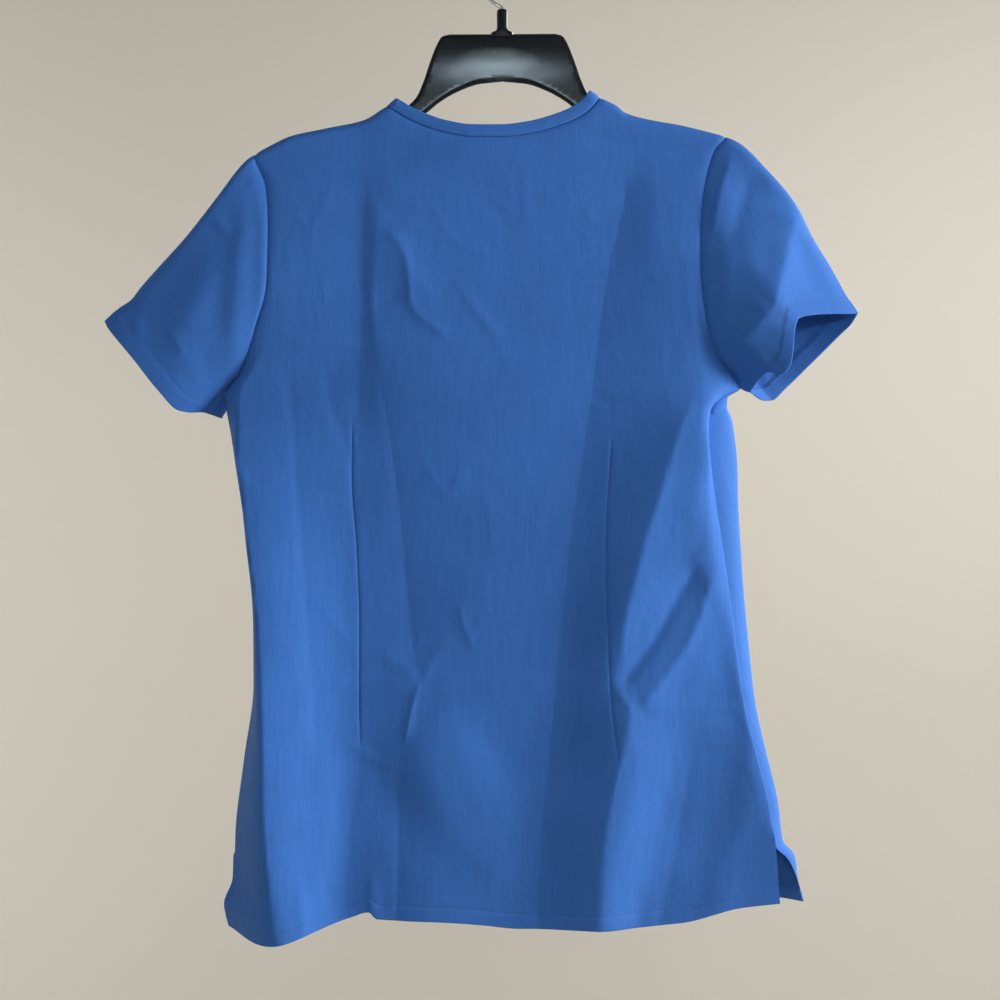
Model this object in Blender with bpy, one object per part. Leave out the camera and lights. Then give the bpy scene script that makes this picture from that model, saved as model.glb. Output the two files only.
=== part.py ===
"""A short-sleeved scrub top on a moulded plastic coat hanger.

The origin is the inner apex of the hanger's hook, where it rests on its rod. +Z is up, the back of the top
faces -Y and the wearer's right hand is at +X. All sizes here are millimetres until a mesh is written.

The top is cut as the real one: a back, a front with a V neck, two set-in sleeves and one neckband. Each cut
piece is a patch between its four edges. What it does between them comes from tables with a row for each
crest, hollow or level. Pieces that are sewn together share the points and the wall direction of their seam.
"""

import math

import bmesh
import bpy
import numpy as np
from mathutils import Matrix

MM = 0.001

# Cloth.
WALL = 1.2              # woven cloth with its drape, as a wall
HEM_WALL = 2.4          # turned twice and stitched
BAND_WALL = 1.9         # neckband, folded double
SEAM_GAP = 0.3          # between the edges of two sewn pieces
SLEEVE_DRAW = 0.5       # sleeves and neckband turn sharply at their seams, so they stand further off them
BAND_DRAW = 0.65
CUFF_SHARE = 0.84       # where the turned cuff starts along a sleeve
BAND_WIDTH = 9.5
BAND_LEAN = (0.88, 0.0, 0.47)     # how the band leans in to the neck on top of the shoulders

# The roll of the cloth over the hanger's arm, with the shoulder seam a little in front of its crest.
ROLL = 8.0
SEAM_ANGLE = math.asin(3.0 / ROLL)
BACK_ARC = ROLL * (math.pi / 2 + SEAM_ANGLE)
FRONT_ARC = ROLL * (math.pi / 2 - SEAM_ANGLE)
ROLL_FADE = 26.0        # how fast the panels leave the roll for their own depth
NECK_FADE = 0.30        # level by which the rows of the back no longer dip with its neck

# At the armpit four seams meet in a crotch, where the walls stand straight up.
STRAIGHT_DOWN = (0.0, 0.0, -1.0)

# Levels of a panel, as shares of its side: 0 is the shoulder, ARMPIT the foot of the armhole, 1 the hem.
ARMPIT = 0.33
VENT_TOP = 0.905
ARMHOLE_LEVELS = (0.0, 0.006, 0.013, 0.019, 0.026, 0.045, 0.075, 0.115, 0.155, 0.195, 0.235, 0.27, 0.302,
                  0.322, ARMPIT)
SIDE_LEVELS = (0.345, 0.365, 0.395, 0.435, 0.475, 0.515, 0.555, 0.595, 0.635, 0.675, 0.715, 0.755, 0.79,
               0.825, 0.865, VENT_TOP, 0.945, 0.975, 0.981, 1.0)
LEVELS = ARMHOLE_LEVELS + SIDE_LEVELS
HEM_START = 0.978

# Columns across a panel, as shares of its width. The neck lies between NECK_LEFT and NECK_RIGHT, and the
# shoulder columns are common to the back and the front, so that their seams meet.
NECK_LEFT = 0.275
NECK_RIGHT = 0.739
LEFT_COLUMNS = (0.0, 0.012, 0.03, 0.055, 0.09, 0.13, 0.175, 0.225, NECK_LEFT)
RIGHT_COLUMNS = (NECK_RIGHT, 0.775, 0.815, 0.86, 0.905, 0.945, 0.97, 0.987, 1.0)
BACK_COLUMNS = LEFT_COLUMNS + (0.288, 0.318, 0.36, 0.405, 0.45, 0.5, 0.545, 0.59, 0.635, 0.675, 0.705,
                               0.726) + RIGHT_COLUMNS
FRONT_COLUMNS = LEFT_COLUMNS + (0.29, 0.33, 0.385, 0.447, 0.509, 0.57, 0.63, 0.685, 0.724) + RIGHT_COLUMNS

# The shoulders of both panels, tip to tip along x, and the heights of the two armpits.
SHOULDER_START = -197
SHOULDER_WIDTH = 375
LEFT_ARMPIT = -366
RIGHT_ARMPIT = -361

# Crest of the shoulders, and the height the cloth would have across the neck. Columns: x, z.
SHOULDER_CREST = ((-197, -172), (-182, -164), (-169, -158), (-142, -152), (-110, -145), (-95, -136), (-85, -130),
                  (71, -124), (80, -128), (92, -134), (98, -139), (110, -143), (146, -150), (178, -158))

# How far the neck is cut down below the shoulder seams. Columns: x, drop along the cloth.
BACK_NECK = ((-94, 0), (-89, 13), (-85, 17), (-64, 30), (-44, 38), (-25, 42), (2, 43), (21, 41), (47, 34),
             (68, 23), (75, 14.5), (80, 0))
FRONT_NECK = ((-94, 0), (-85, 15), (-62, 58), (-6, 160), (48, 60), (71, 15), (80, 0))

# Edges of the panels below the shoulder. Columns: z, x, y of the back, y of the front.
LEFT_EDGE = (
    (-164, -197, -8, 8), (-172, -197, -8, 8), (-201, -187, -9, 9), (-238, -185, -13, 14), (-278, -186, -15, 17),
    (-312, -195, -13, 15), (-346, -207, -8, 9), (-366, -222, -2, -2), (-399, -218, 2, 2), (-436, -212, 3, 3),
    (-473, -206, 4, 4), (-504, -203, 5, 5), (-547, -201, 6, 6), (-596, -201, 7, 7), (-658, -209, 8, 8),
    (-717, -216, 8, 8), (-753, -217, 8, 10), (-774, -224, 8, 12), (-792, -220, 8, 14))
RIGHT_EDGE = (
    (-150, 178, -8, 8), (-158, 178, -8, 8), (-171, 169, -9, 9), (-213, 159, -14, 14), (-254, 157, -17, 18),
    (-302, 161, -18, 19), (-334, 171, -14, 14), (-361, 190, -6, -6), (-368, 176, -9, -9), (-378, 166, -14, -14),
    (-394, 164, -18, -18), (-435, 167, -20, -20), (-478, 173, -22, -22), (-544, 182, -24, -24),
    (-607, 190, -25, -25), (-652, 201, -26, -26), (-689, 210, -26, -26), (-719, 214, -26, -26),
    (-764, 217, -28, -28))
# The front's own edge below the right vent, which swings out. Columns: z, x, y.
FRONT_VENT_EDGE = ((-652, 201, -26), (-689, 210, -26), (-719, 214, -25), (-728, 224, -18), (-746, 234, -6),
                   (-772, 243, 8))

# Foot of the panels. Columns: share of the width, x, z.
BACK_HEM = ((0.0, -220, -792), (0.045, -197, -795), (0.10, -172, -792), (0.165, -146, -784), (0.23, -118, -775),
            (0.26, -104, -771), (0.275, -98, -776), (0.40, -44, -778), (0.46, -17, -780), (0.535, 14, -783),
            (0.68, 79, -783), (0.82, 140, -779), (0.925, 184, -768), (1.0, 217, -764))
FRONT_HEM = ((0.0, -218, -790), (0.10, -176, -786), (0.25, -112, -779), (0.36, -62, -778), (0.5, 4, -770),
             (0.74, 120, -781), (0.80, 148, -782), (0.90, 190, -772), (1.0, 243, -772))

# Crests and hollows that run down the back. Columns: z, x, y.
BACK_LINES = {
    "left ridge": (
        (-179, -183, -9), (-242, -173, -16), (-315, -181, -17), (-366, -208, -9), (-401, -209, -10),
        (-435, -205, -14), (-468, -199, -18), (-503, -195, -22), (-535, -190, -25), (-573, -188, -28),
        (-651, -185, -34), (-683, -184, -37), (-752, -179, -42), (-791, -171, -45)),
    "left hollow": (
        (-171, -125, -10), (-202, -118, -15), (-288, -112, -20), (-343, -115, -22), (-431, -117, -23),
        (-544, -111, -24), (-643, -110, -24), (-684, -114, -24), (-758, -121, -25), (-796, -119, -27)),
    "left roll": (
        (-171, -85, -10), (-202, -95, -16), (-288, -100, -19), (-343, -98, -20), (-397, -85, -21),
        (-487, -79, -22), (-541, -74, -22), (-586, -63, -23), (-632, -58, -30), (-682, -54, -33),
        (-731, -53, -34), (-794, -51, -36)),
    "centre": (
        (-172, -25, -13), (-253, -17, -23), (-332, -17, -28), (-410, -17, -31), (-488, -13, -32),
        (-565, -9, -32), (-620, -5, -30), (-683, 2, -27), (-738, 6, -28), (-795, 8, -31)),
    "long valley": (
        (-178, 103, -10), (-225, 93, -17), (-280, 82, -22), (-343, 73, -25), (-406, 63, -26), (-478, 55, -27),
        (-554, 48, -27), (-612, 41, -26), (-689, 34, -25), (-769, 30, -27), (-796, 30, -28)),
    "right ridge": (
        (-171, 121, -10), (-229, 124, -19), (-292, 133, -25), (-362, 146, -31), (-433, 129, -39),
        (-495, 111, -42), (-557, 95, -41), (-589, 90, -38), (-615, 97, -39), (-664, 98, -38), (-730, 83, -39),
        (-778, 78, -42)),
    "right hollow": (
        (-171, 142, -10), (-228, 140, -17), (-292, 146, -22), (-361, 157, -28), (-433, 148, -31),
        (-495, 146, -32), (-617, 148, -29), (-710, 130, -28), (-771, 111, -33), (-794, 107, -34)),
    "right crest": (
        (-171, 157, -10), (-228, 150, -15), (-292, 154, -20), (-361, 167, -21), (-433, 159, -25),
        (-496, 164, -28), (-566, 176, -31), (-634, 183, -34), (-708, 172, -36), (-763, 168, -36)),
}

# The columns of the back that follow these lines once they are clear of the shoulders.
LINE_COLUMNS = (0.055, 0.225, 0.318, 0.5, 0.635, 0.775, 0.905, 0.97)
LINES_START, LINES_FULL = 0.06, 0.30
LINE_ROOM = 4.0         # the least room between two of these lines beside a seam
LINE_SHARE = 0.25       # and the part of it that they keep elsewhere

SEAM_CALM = 20.0        # the folds below die out this near to a side seam
# Folds that cross the back. Columns: start (x, z), end (x, z), half width, height towards the viewer.
BACK_FOLDS = (
    ("hollow from the right side", (161, -478), (88, -588), 16, -7),
    ("crest under it", (152, -516), (100, -610), 14, 5),
    ("crease below the left dart", (-112, -634), (-52, -740), 18, -5),
    ("crest across the seat", (-56, -606), (10, -716), 20, 6),
    ("pressed line", (-180, -592), (100, -596), 12, 2.5),
    ("upper left wrinkle", (-95, -230), (-48, -312), 14, 3),
)

# Depth of the front, by share of its width at each level. The first column is z.
FRONT_SHARES = (0.04, 0.15, 0.32, 0.5, 0.66, 0.85, 0.95)
FRONT_DEPTHS = (
    (-170, 8, 9, 9, 10, 9, 9, 8), (-250, 17, 22, 25, 22, 24, 22, 18), (-366, 13, 26, 31, 29, 31, 27, 15),
    (-470, 17, 27, 33, 30, 32, 28, 16), (-600, 18, 29, 28, 34, 29, 30, 18), (-700, 21, 31, 26, 35, 27, 31, 20),
    (-790, 24, 35, 25, 36, 27, 33, 24))
# How far the front swings out past its side seams. Columns: z, left, right.
FRONT_BULGE = ((-340, 0, 0), (-362, 0, 6), (-372, 1, 22), (-390, 2, 33), (-411, 2, 35), (-473, 3, 29),
               (-543, 3, 24), (-606, 3, 23), (-643, 3, 22), (-687, 2, 22), (-704, 2, 22), (-725, 1, 22),
               (-745, 0, 14), (-765, 0, 3))
BULGE_REACH = 0.035     # share of the width from the seam to the bulge

# Sleeves. Fold at the top and seam under the arm: x, y, z. Cuff: share of the way down, x, y, z.
LEFT_SLEEVE = {
    "top": ((-197, 3, -172.6), (-205, 1, -179), (-226, 0, -205), (-250, 0, -235), (-290, 0, -280),
            (-297, 0, -289), (-306, 0, -295), (-318, 0, -306)),
    "under": ((-222, -2, -366), (-238, -1, -379)),
    "back cuff": ((0.0, -318, 0, -306), (0.06, -314, -5, -312), (0.14, -307, -9, -320), (0.3, -293, -13, -336),
                  (0.55, -272, -15, -362), (0.74, -256, -12, -378), (0.86, -247, -8, -379.5),
                  (0.95, -241, -4, -379), (1.0, -238, -1, -379)),
    "front cuff": ((0.0, -318, 0, -306), (0.06, -313, 5, -312), (0.14, -305, 9, -319), (0.3, -290, 14, -332),
                   (0.55, -267, 18, -355), (0.7, -250, 18, -371), (0.8, -237, 17, -379),
                   (0.88, -227, 13, -383), (0.95, -229, 6, -382), (1.0, -238, -1, -379)),
}
RIGHT_SLEEVE = {
    "top": ((178, 3, -158.6), (189, 1, -164), (211, -2, -185), (235, -4, -214), (248, -4, -240),
            (263, -4, -265), (274, -4, -285), (284, -4, -300)),
    "under": ((190, -6, -361), (198, -4, -363)),
    "back cuff": ((0.0, 284, -4, -300), (0.06, 275, -9, -301), (0.16, 258, -16, -302), (0.34, 232, -28, -307),
                  (0.42, 228, -32, -317), (0.62, 225, -34, -341), (0.72, 218, -32, -351), (0.8, 209, -26, -349),
                  (0.91, 202, -16, -355), (1.0, 198, -4, -363)),
    "front cuff": ((0.0, 284, -4, -300), (0.05, 282, 6, -306), (0.14, 274, 14, -315), (0.35, 255, 24, -335),
                   (0.6, 231, 30, -359), (0.7, 222, 30, -367), (0.78, 214, 24, -368), (0.9, 203, 10, -364),
                   (1.0, 198, -4, -363)),
}
# Folds across a sleeve: start (x, z), end (x, z), half width, height towards the viewer.
LEFT_SLEEVE_FOLDS = (("roll along the armhole", (-204, -200), (-214, -350), 14, 4),
                     ("crest to the cuff", (-222, -240), (-262, -346), 18, 3))
RIGHT_SLEEVE_FOLDS = (("crest of the cap", (232, -220), (214, -296), 15, 8),
                      ("hollow to the armpit", (208, -306), (182, -338), 12, -6),
                      ("roll along the armhole", (178, -200), (176, -310), 12, 4))
SLEEVE_ROWS = (0.0, 0.14, 0.3, 0.47, 0.64, 0.82, 0.85, 1.0)

# Hanger. The outline is one side's: x from the centre, z.
HANGER_DEPTH = 10.0
HANGER_BEVEL = 4.0
HANGER_OUTLINE = (
    (42, -76.4), (48, -78), (51.5, -83), (57, -96), (63, -113.5), (69, -126.5), (77, -134), (86, -137.6),
    (95, -141.0), (98, -142.6), (110, -146.6), (142, -153.1), (169, -159.5), (178, -162.7), (184, -168),
    (185.5, -173), (182, -177), (165, -174), (138, -168.5), (110, -162), (90, -154), (74, -147), (62, -139.5),
    (50, -130), (36, -122), (19, -116), (0, -114))
HANGER_TILT = math.radians(0.35)
# The round neck that holds the hook: radius, z. The hook's shank stands in its blind bore, and it flares
# into the hanger's upper edge.
NECK_TOP = -56.4
NECK_PROFILE = ((0.0, -62.0), (1.85, -62.0), (1.85, NECK_TOP), (2.6, NECK_TOP), (3.7, -57.0), (4.2, -58.4),
                (4.2, -71.8), (5.4, -73.6), (9.0, -75.6), (9.0, -80.0), (0.0, -80.0))
NECK_SIDES = 16
NECK_HALF_DEPTH = 4.7

# Hook. Its round part hangs from the rod; the shank then bends in to the hanger's neck. Columns: x, z.
WIRE_RADIUS = 1.5
CROOK_RADIUS = 20.5
CROOK_OPEN_END = math.radians(-38)
CROOK_LEAVES = math.radians(200)
CROOK_POINTS = 20
HOOK_SHANK = ((-17.6, -34.0), (-14.2, -42.0), (-9.6, -48.6), (-4.9, -52.4), (-1.7, -54.1), (-0.3, -55.2),
              (0.0, -56.3), (0.0, -61.7))

CLOTH = ("scrub_cloth", (0.055, 0.16, 0.42, 1.0), 0.85, 0.0)
PLASTIC = ("hanger_plastic", (0.012, 0.013, 0.015, 1.0), 0.35, 0.0)
STEEL = ("hook_steel", (0.62, 0.63, 0.65, 1.0), 0.22, 1.0)


def clear_scene():
    """Removes whatever the file starts with."""
    for item in list(bpy.data.objects):
        bpy.data.objects.remove(item, do_unlink=True)


def material(name, colour, roughness, metallic):
    """One Principled material."""
    made = bpy.data.materials.new(name)
    made.use_nodes = True
    shader = made.node_tree.nodes["Principled BSDF"]
    shader.inputs["Base Color"].default_value = colour
    shader.inputs["Roughness"].default_value = roughness
    shader.inputs["Metallic"].default_value = metallic
    made.diffuse_color = colour
    return made


def add_object(name, bm, finish):
    """Writes a mesh in millimetres as an object in metres, shaded smooth up to its sharp edges."""
    bmesh.ops.scale(bm, vec=(MM, MM, MM), verts=bm.verts)
    mesh = bpy.data.meshes.new(name)
    bm.to_mesh(mesh)
    bm.free()
    mesh.shade_smooth()
    mesh.set_sharp_from_angle(angle=math.radians(50))
    mesh.materials.append(finish)
    made = bpy.data.objects.new(name, mesh)
    bpy.context.scene.collection.objects.link(made)
    return made


# Curves and surfaces.

def monotone(t, knots, values):
    """Reads a smooth curve that never overshoots its points.

    knots and values have one entry for each point along their first axis; t has the shape of one entry.
    """
    knots = np.asarray(knots, float)
    values = np.asarray(values, float)
    gaps = np.diff(knots, axis=0)
    slopes = np.diff(values, axis=0) / gaps
    before, after = slopes[:-1], slopes[1:]
    weight = (gaps[:-1] + 2 * gaps[1:], 2 * gaps[:-1] + gaps[1:])
    same_way = before * after > 0
    safe_before = np.where(same_way, before, 1.0)
    safe_after = np.where(same_way, after, 1.0)
    mean = (weight[0] + weight[1]) / (weight[0] / safe_before + weight[1] / safe_after)
    tangents = np.concatenate([slopes[:1], np.where(same_way, mean, 0.0), slopes[-1:]])
    t = np.clip(t, knots[0], knots[-1])
    index = np.clip(sum((t >= knot).astype(int) for knot in knots) - 1, 0, len(knots) - 2)
    take = (lambda table: table[index]) if knots.ndim == 1 else (
        lambda table: np.take_along_axis(table, index[None], axis=0)[0])
    gap = take(gaps)
    share = (t - take(knots)) / gap
    rise, fall = share * share * (3 - 2 * share), share * (1 - share)
    return (take(values) * (1 - rise) + take(values[1:]) * rise
            + gap * fall * ((1 - share) * take(tangents) - share * take(tangents[1:])))


def column(table, key, value, at):
    """Reads one column of a table against another, at any array of places."""
    rows = sorted(table, key=lambda row: row[key])
    return monotone(np.asarray(at, float), [row[key] for row in rows], [row[value] for row in rows])


def coons(top, bottom, left, right, across, down):
    """Fills a patch between four edges that share their corners; all arrays end in x, y, z."""
    u = np.asarray(across)[None, :, None]
    v = np.asarray(down)[:, None, None]
    sides = (1 - u) * left[:, None] + u * right[:, None]
    ends = (1 - v) * top[None] + v * bottom[None]
    corners = ((1 - u) * (1 - v) * top[0] + u * (1 - v) * top[-1]
               + (1 - u) * v * bottom[0] + u * v * bottom[-1])
    return sides + ends - corners


def fold_height(folds, x, z):
    """Adds up straight folds that fade to their ends and sides."""
    total = np.zeros_like(x)
    for _, start, end, half_width, height in folds:
        run = np.subtract(end, start)
        length = math.hypot(*run)
        along = ((x - start[0]) * run[0] + (z - start[1]) * run[1]) / length ** 2
        aside = ((x - start[0]) * run[1] - (z - start[1]) * run[0]) / length / half_width
        ends = np.clip(4 * along * (1 - along), 0, 1)
        total += height * ends * np.exp(-aside ** 2)
    return total


def crest(x):
    """Height of the shoulder crest at x."""
    return column(SHOULDER_CREST, 0, 1, x)


def rolled(drop, arc, direction):
    """Wraps cloth over the hanger's arm: returns depth and fall for a distance down from the seam."""
    start = -SEAM_ANGLE if direction < 0 else SEAM_ANGLE
    angle = np.clip(drop / ROLL + start, start, math.pi / 2)
    fall = ROLL * (1 - np.cos(angle)) + np.maximum(drop - arc, 0)
    return direction * ROLL * np.sin(angle), fall


def side_height(level, edge):
    """Height of a panel's edge at a level, as laid flat above the shoulder."""
    armpit = LEFT_ARMPIT if edge is LEFT_EDGE else RIGHT_ARMPIT
    return np.interp(level, (0.0, ARMPIT, 1.0), (edge[0][0], armpit, edge[-1][0]))


def panel_pattern(neck, hem, arc, levels, columns, right_foot=None):
    """Lays a panel out flat: x and height of every point, with the shoulder still unrolled."""
    u = np.asarray(columns, float)
    v = np.asarray(levels, float)
    top_x = SHOULDER_START + u * SHOULDER_WIDTH
    cut = np.where((u > NECK_LEFT) & (u < NECK_RIGHT), 1.0, 0.0)
    if neck is FRONT_NECK:
        drop = np.interp(top_x, [row[0] for row in neck], [row[1] for row in neck]) * cut
        dip = 1 - v
    else:
        drop = column(neck, 0, 1, top_x) * cut
        dip = np.clip(1 - v / NECK_FADE, 0, 1) ** 2
    top = np.stack([top_x, crest(top_x) + arc - ROLL], axis=-1)
    bottom = np.stack([column(hem, 0, 1, u), column(hem, 0, 2, u)], axis=-1)
    sides = []
    for edge, corner, foot in ((LEFT_EDGE, top[0], bottom[0]), (RIGHT_EDGE, top[-1], bottom[-1])):
        height = side_height(v, edge)
        x = column(edge, 0, 1, height)
        if right_foot is not None and edge is RIGHT_EDGE:
            x = np.where(height < right_foot[0][0], column(right_foot, 0, 1, height), x)
        share = np.clip(v / ARMPIT, 0, 1)
        height = height + (corner[1] - height[0]) * (1 - share)
        tail = np.clip((v - VENT_TOP) / (1 - VENT_TOP), 0, 1)
        height = height + (foot[1] - height[-1]) * tail
        x = x + (foot[0] - x[-1]) * tail
        sides.append(np.stack([x, height], axis=-1))
    flat = coons(top, bottom, sides[0], sides[1], u, v)
    flat[..., 1] -= dip[:, None] * drop[None]
    return flat


def off_the_roll(flat, arc, direction, depth):
    """Turns a flat pattern and its depths into points in space, rolled over the arm at the shoulder."""
    x, height = flat[..., 0], flat[..., 1]
    drop = np.maximum(crest(x) + arc - ROLL - height, 0)
    roll_depth, fall = rolled(drop, arc, direction)
    keep = np.exp(-np.maximum(drop - arc, 0) / ROLL_FADE)
    return np.stack([x, np.where(drop < arc, roll_depth, roll_depth * keep + depth * (1 - keep)),
                     crest(x) - fall], axis=-1)


def line_places(x, z):
    """Where the back's crests and hollows cross each row, from one side seam to the other."""
    places = [x[:, :1] + 0 * x] + [column(rows, 0, 1, z) for rows in BACK_LINES.values()] + [x[:, -1:] + 0 * x]
    places = np.stack(places)
    steps = LINE_ROOM * np.arange(len(places))[:, None, None]
    places[1:-1] = np.clip(places[1:-1], places[0] + steps[1:-1], places[-1] - (steps[-1] - steps[1:-1]))
    return np.maximum.accumulate(places - steps * LINE_SHARE, axis=0) + steps * LINE_SHARE


def follow_lines(flat):
    """Slides the columns of the flat back sideways onto its crests and hollows, and mends the hem line."""
    x, z = flat[..., 0], flat[..., 1]
    shares = np.stack([np.full_like(x, share) for share in (0.0,) + LINE_COLUMNS + (1.0,)])
    wanted = monotone(np.asarray(BACK_COLUMNS)[None] + 0 * x, shares, line_places(x, z))
    level = np.asarray(LEVELS)[:, None]
    pull = np.clip((level - LINES_START) / (LINES_FULL - LINES_START), 0, 1)
    moved = x + (wanted - x) * pull * pull * (3 - 2 * pull)
    foot = [column(BACK_HEM, 1, 2, place) for place in (moved, x)]
    return np.stack([moved, z + (foot[0] - foot[1]) * level ** 3], axis=-1)


def back_surface():
    """Outer points of the back, levels by columns."""
    flat = follow_lines(panel_pattern(BACK_NECK, BACK_HEM, BACK_ARC, LEVELS, BACK_COLUMNS))
    x, z = flat[..., 0], flat[..., 1]
    edges = [column(edge, 0, 2, z) for edge in (LEFT_EDGE, RIGHT_EDGE)]
    depths = [edges[0]] + [column(rows, 0, 2, z) for rows in BACK_LINES.values()] + [edges[1]]
    depth = monotone(x, line_places(x, z), np.stack(depths))
    seam_fade = np.clip(np.minimum(x - x[:, :1], x[:, -1:] - x) / SEAM_CALM, 0, 1)
    depth = depth - fold_height(BACK_FOLDS, x, z) * seam_fade
    return off_the_roll(flat, BACK_ARC, -1, depth)


def front_surface():
    """Outer points of the front, levels by columns."""
    flat = panel_pattern(FRONT_NECK, FRONT_HEM, FRONT_ARC, LEVELS, FRONT_COLUMNS, FRONT_VENT_EDGE)
    x, z = flat[..., 0], flat[..., 1]
    u = np.asarray(FRONT_COLUMNS)[None] + 0 * x
    right = np.where(z < FRONT_VENT_EDGE[0][0], column(FRONT_VENT_EDGE, 0, 2, z), column(RIGHT_EDGE, 0, 3, z))
    depths = [column(LEFT_EDGE, 0, 3, z)]
    depths += [column(FRONT_DEPTHS, 0, 1 + k, z) for k in range(len(FRONT_SHARES))]
    depths += [right]
    shares = np.stack([np.full_like(x, share) for share in (0.0,) + FRONT_SHARES + (1.0,)])
    depth = monotone(u, shares, np.stack(depths))
    swing = [share / BULGE_REACH * np.exp(1 - share / BULGE_REACH) for share in (u, 1 - u)]
    flat[..., 0] = x - swing[0] * column(FRONT_BULGE, 0, 1, z) + swing[1] * column(FRONT_BULGE, 0, 2, z)
    return off_the_roll(flat, FRONT_ARC, 1, depth)


def along(points, shares):
    """Reads a route of points at shares of its length."""
    points = np.asarray(points, float)
    lengths = np.concatenate([[0], np.cumsum(np.linalg.norm(np.diff(points, axis=0), axis=1))])
    return np.stack([monotone(np.asarray(shares), lengths / lengths[-1], points[:, k]) for k in range(3)], axis=-1)


def sleeve_half(armhole, sleeve, cuff, folds, direction):
    """Outer points of one half of a sleeve: rows from armhole to cuff, columns from the top fold down."""
    lengths = np.concatenate([[0], np.cumsum(np.linalg.norm(np.diff(armhole, axis=0), axis=1))])
    around = lengths / lengths[-1]
    foot = np.stack([column(cuff, 0, 1 + k, around) for k in range(3)], axis=-1)
    top = along(sleeve["top"], SLEEVE_ROWS)
    under = along(sleeve["under"], SLEEVE_ROWS)
    top += (armhole[0] - top[0]) * (1 - np.asarray(SLEEVE_ROWS))[:, None] ** 4
    under += (armhole[-1] - under[0]) * (1 - np.asarray(SLEEVE_ROWS))[:, None]
    points = coons(armhole, foot, top, under, around, SLEEVE_ROWS)
    rise = fold_height(folds, points[..., 0], points[..., 2])
    rows = np.asarray(SLEEVE_ROWS)[:, None]
    edge = np.clip(6 * around * (1 - around), 0, 1)[None]
    points[..., 1] += direction * rise * edge * np.clip(8 * rows * (1 - rows), 0, 1)
    return points


def sleeve_surface(back_edge, front_edge, sleeve, folds):
    """Outer points of a whole sleeve as a closed ring of columns, starting at its top fold."""
    back = sleeve_half(back_edge, sleeve, sleeve["back cuff"], folds, -1)
    front = sleeve_half(front_edge, sleeve, sleeve["front cuff"], (), 1)
    return np.concatenate([back, front[:, -2:0:-1]], axis=1)


def grid_normals(points, ring):
    """Unit normals of a grid of points, by central differences."""
    if ring:
        across = np.roll(points, -1, axis=1) - np.roll(points, 1, axis=1)
    else:
        across = np.gradient(points, axis=1)
    down = np.gradient(points, axis=0)
    normals = np.cross(down, across)
    return normals / np.maximum(np.linalg.norm(normals, axis=-1, keepdims=True), 1e-9)


def share_normals(*edges):
    """Gives the matching points of several edges the same wall direction. Each edge is (normals, index)."""
    total = sum(normals[index] for normals, index in edges)
    total = total / np.linalg.norm(total, axis=-1, keepdims=True)
    for normals, index in edges:
        normals[index] = total


def draw_back(points, index, inner, distance):
    """Moves an edge of a piece squarely back from its seam, towards the next row of its points."""
    edge = points[index]
    run = np.gradient(edge, axis=0)
    run = run / np.maximum(np.linalg.norm(run, axis=-1, keepdims=True), 1e-9)
    step = points[inner] - edge
    step = step - run * (step * run).sum(axis=-1, keepdims=True)
    points[index] = edge + distance * step / np.maximum(np.linalg.norm(step, axis=-1, keepdims=True), 1e-9)


def cloth_piece(name, outer, normals, walls, ring, finish):
    """Builds a closed wall of cloth: a grid moved to its outer points, extruded to its inner ones.

    walls has the thickness of each row.
    """
    rows, columns = outer.shape[:2]
    inner = outer - normals * walls[:, None, None]
    bm = bmesh.new()
    wide = columns + 1 if ring else columns
    bmesh.ops.create_grid(bm, x_segments=wide - 1, y_segments=rows - 1, size=1.0)
    tag = bm.verts.layers.int.new("place")
    for vert in bm.verts:
        across = round((vert.co.x + 1) / 2 * (wide - 1)) % columns
        down = round((1 - vert.co.y) / 2 * (rows - 1))
        vert[tag] = down * columns + across
        vert.co = outer[down, across]
    if ring:
        bmesh.ops.remove_doubles(bm, verts=bm.verts, dist=1e-4)
    made = bmesh.ops.extrude_face_region(bm, geom=bm.faces[:], use_keep_orig=True)["geom"]
    for vert in made:
        if isinstance(vert, bmesh.types.BMVert):
            vert.co = inner[vert[tag] // columns, vert[tag] % columns]
    bmesh.ops.recalc_face_normals(bm, faces=bm.faces)
    return add_object(name, bm, finish)


def neckband_surface(foot, normals):
    """Outer points of the neckband, standing on the neck edge of the back and front as one ring."""
    tangent = np.roll(foot, -1, axis=0) - np.roll(foot, 1, axis=0)
    away = np.cross(normals, tangent)
    away = away / np.linalg.norm(away, axis=-1, keepdims=True)
    for corner, side in ((foot[:, 0].argmin(), -1), (foot[:, 0].argmax(), 1)):
        lean = np.array((-side * BAND_LEAN[0], BAND_LEAN[1], BAND_LEAN[2]))
        away[corner] = lean
        away[corner - side] = (away[corner - side] + lean) / np.linalg.norm(away[corner - side] + lean)
    rows = np.asarray((0.0, 0.5, 1.0))[:, None, None]
    return foot[None] + away[None] * rows * BAND_WIDTH


def round_neck(back_row, front_row):
    """Joins the neck edges of the back and the front into one ring, from the left shoulder round the back."""
    left, right = BACK_COLUMNS.index(NECK_LEFT), BACK_COLUMNS.index(NECK_RIGHT)
    front_left, front_right = FRONT_COLUMNS.index(NECK_LEFT), FRONT_COLUMNS.index(NECK_RIGHT)
    return np.concatenate([back_row[left:right + 1], front_row[front_right - 1:front_left:-1]])


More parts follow.
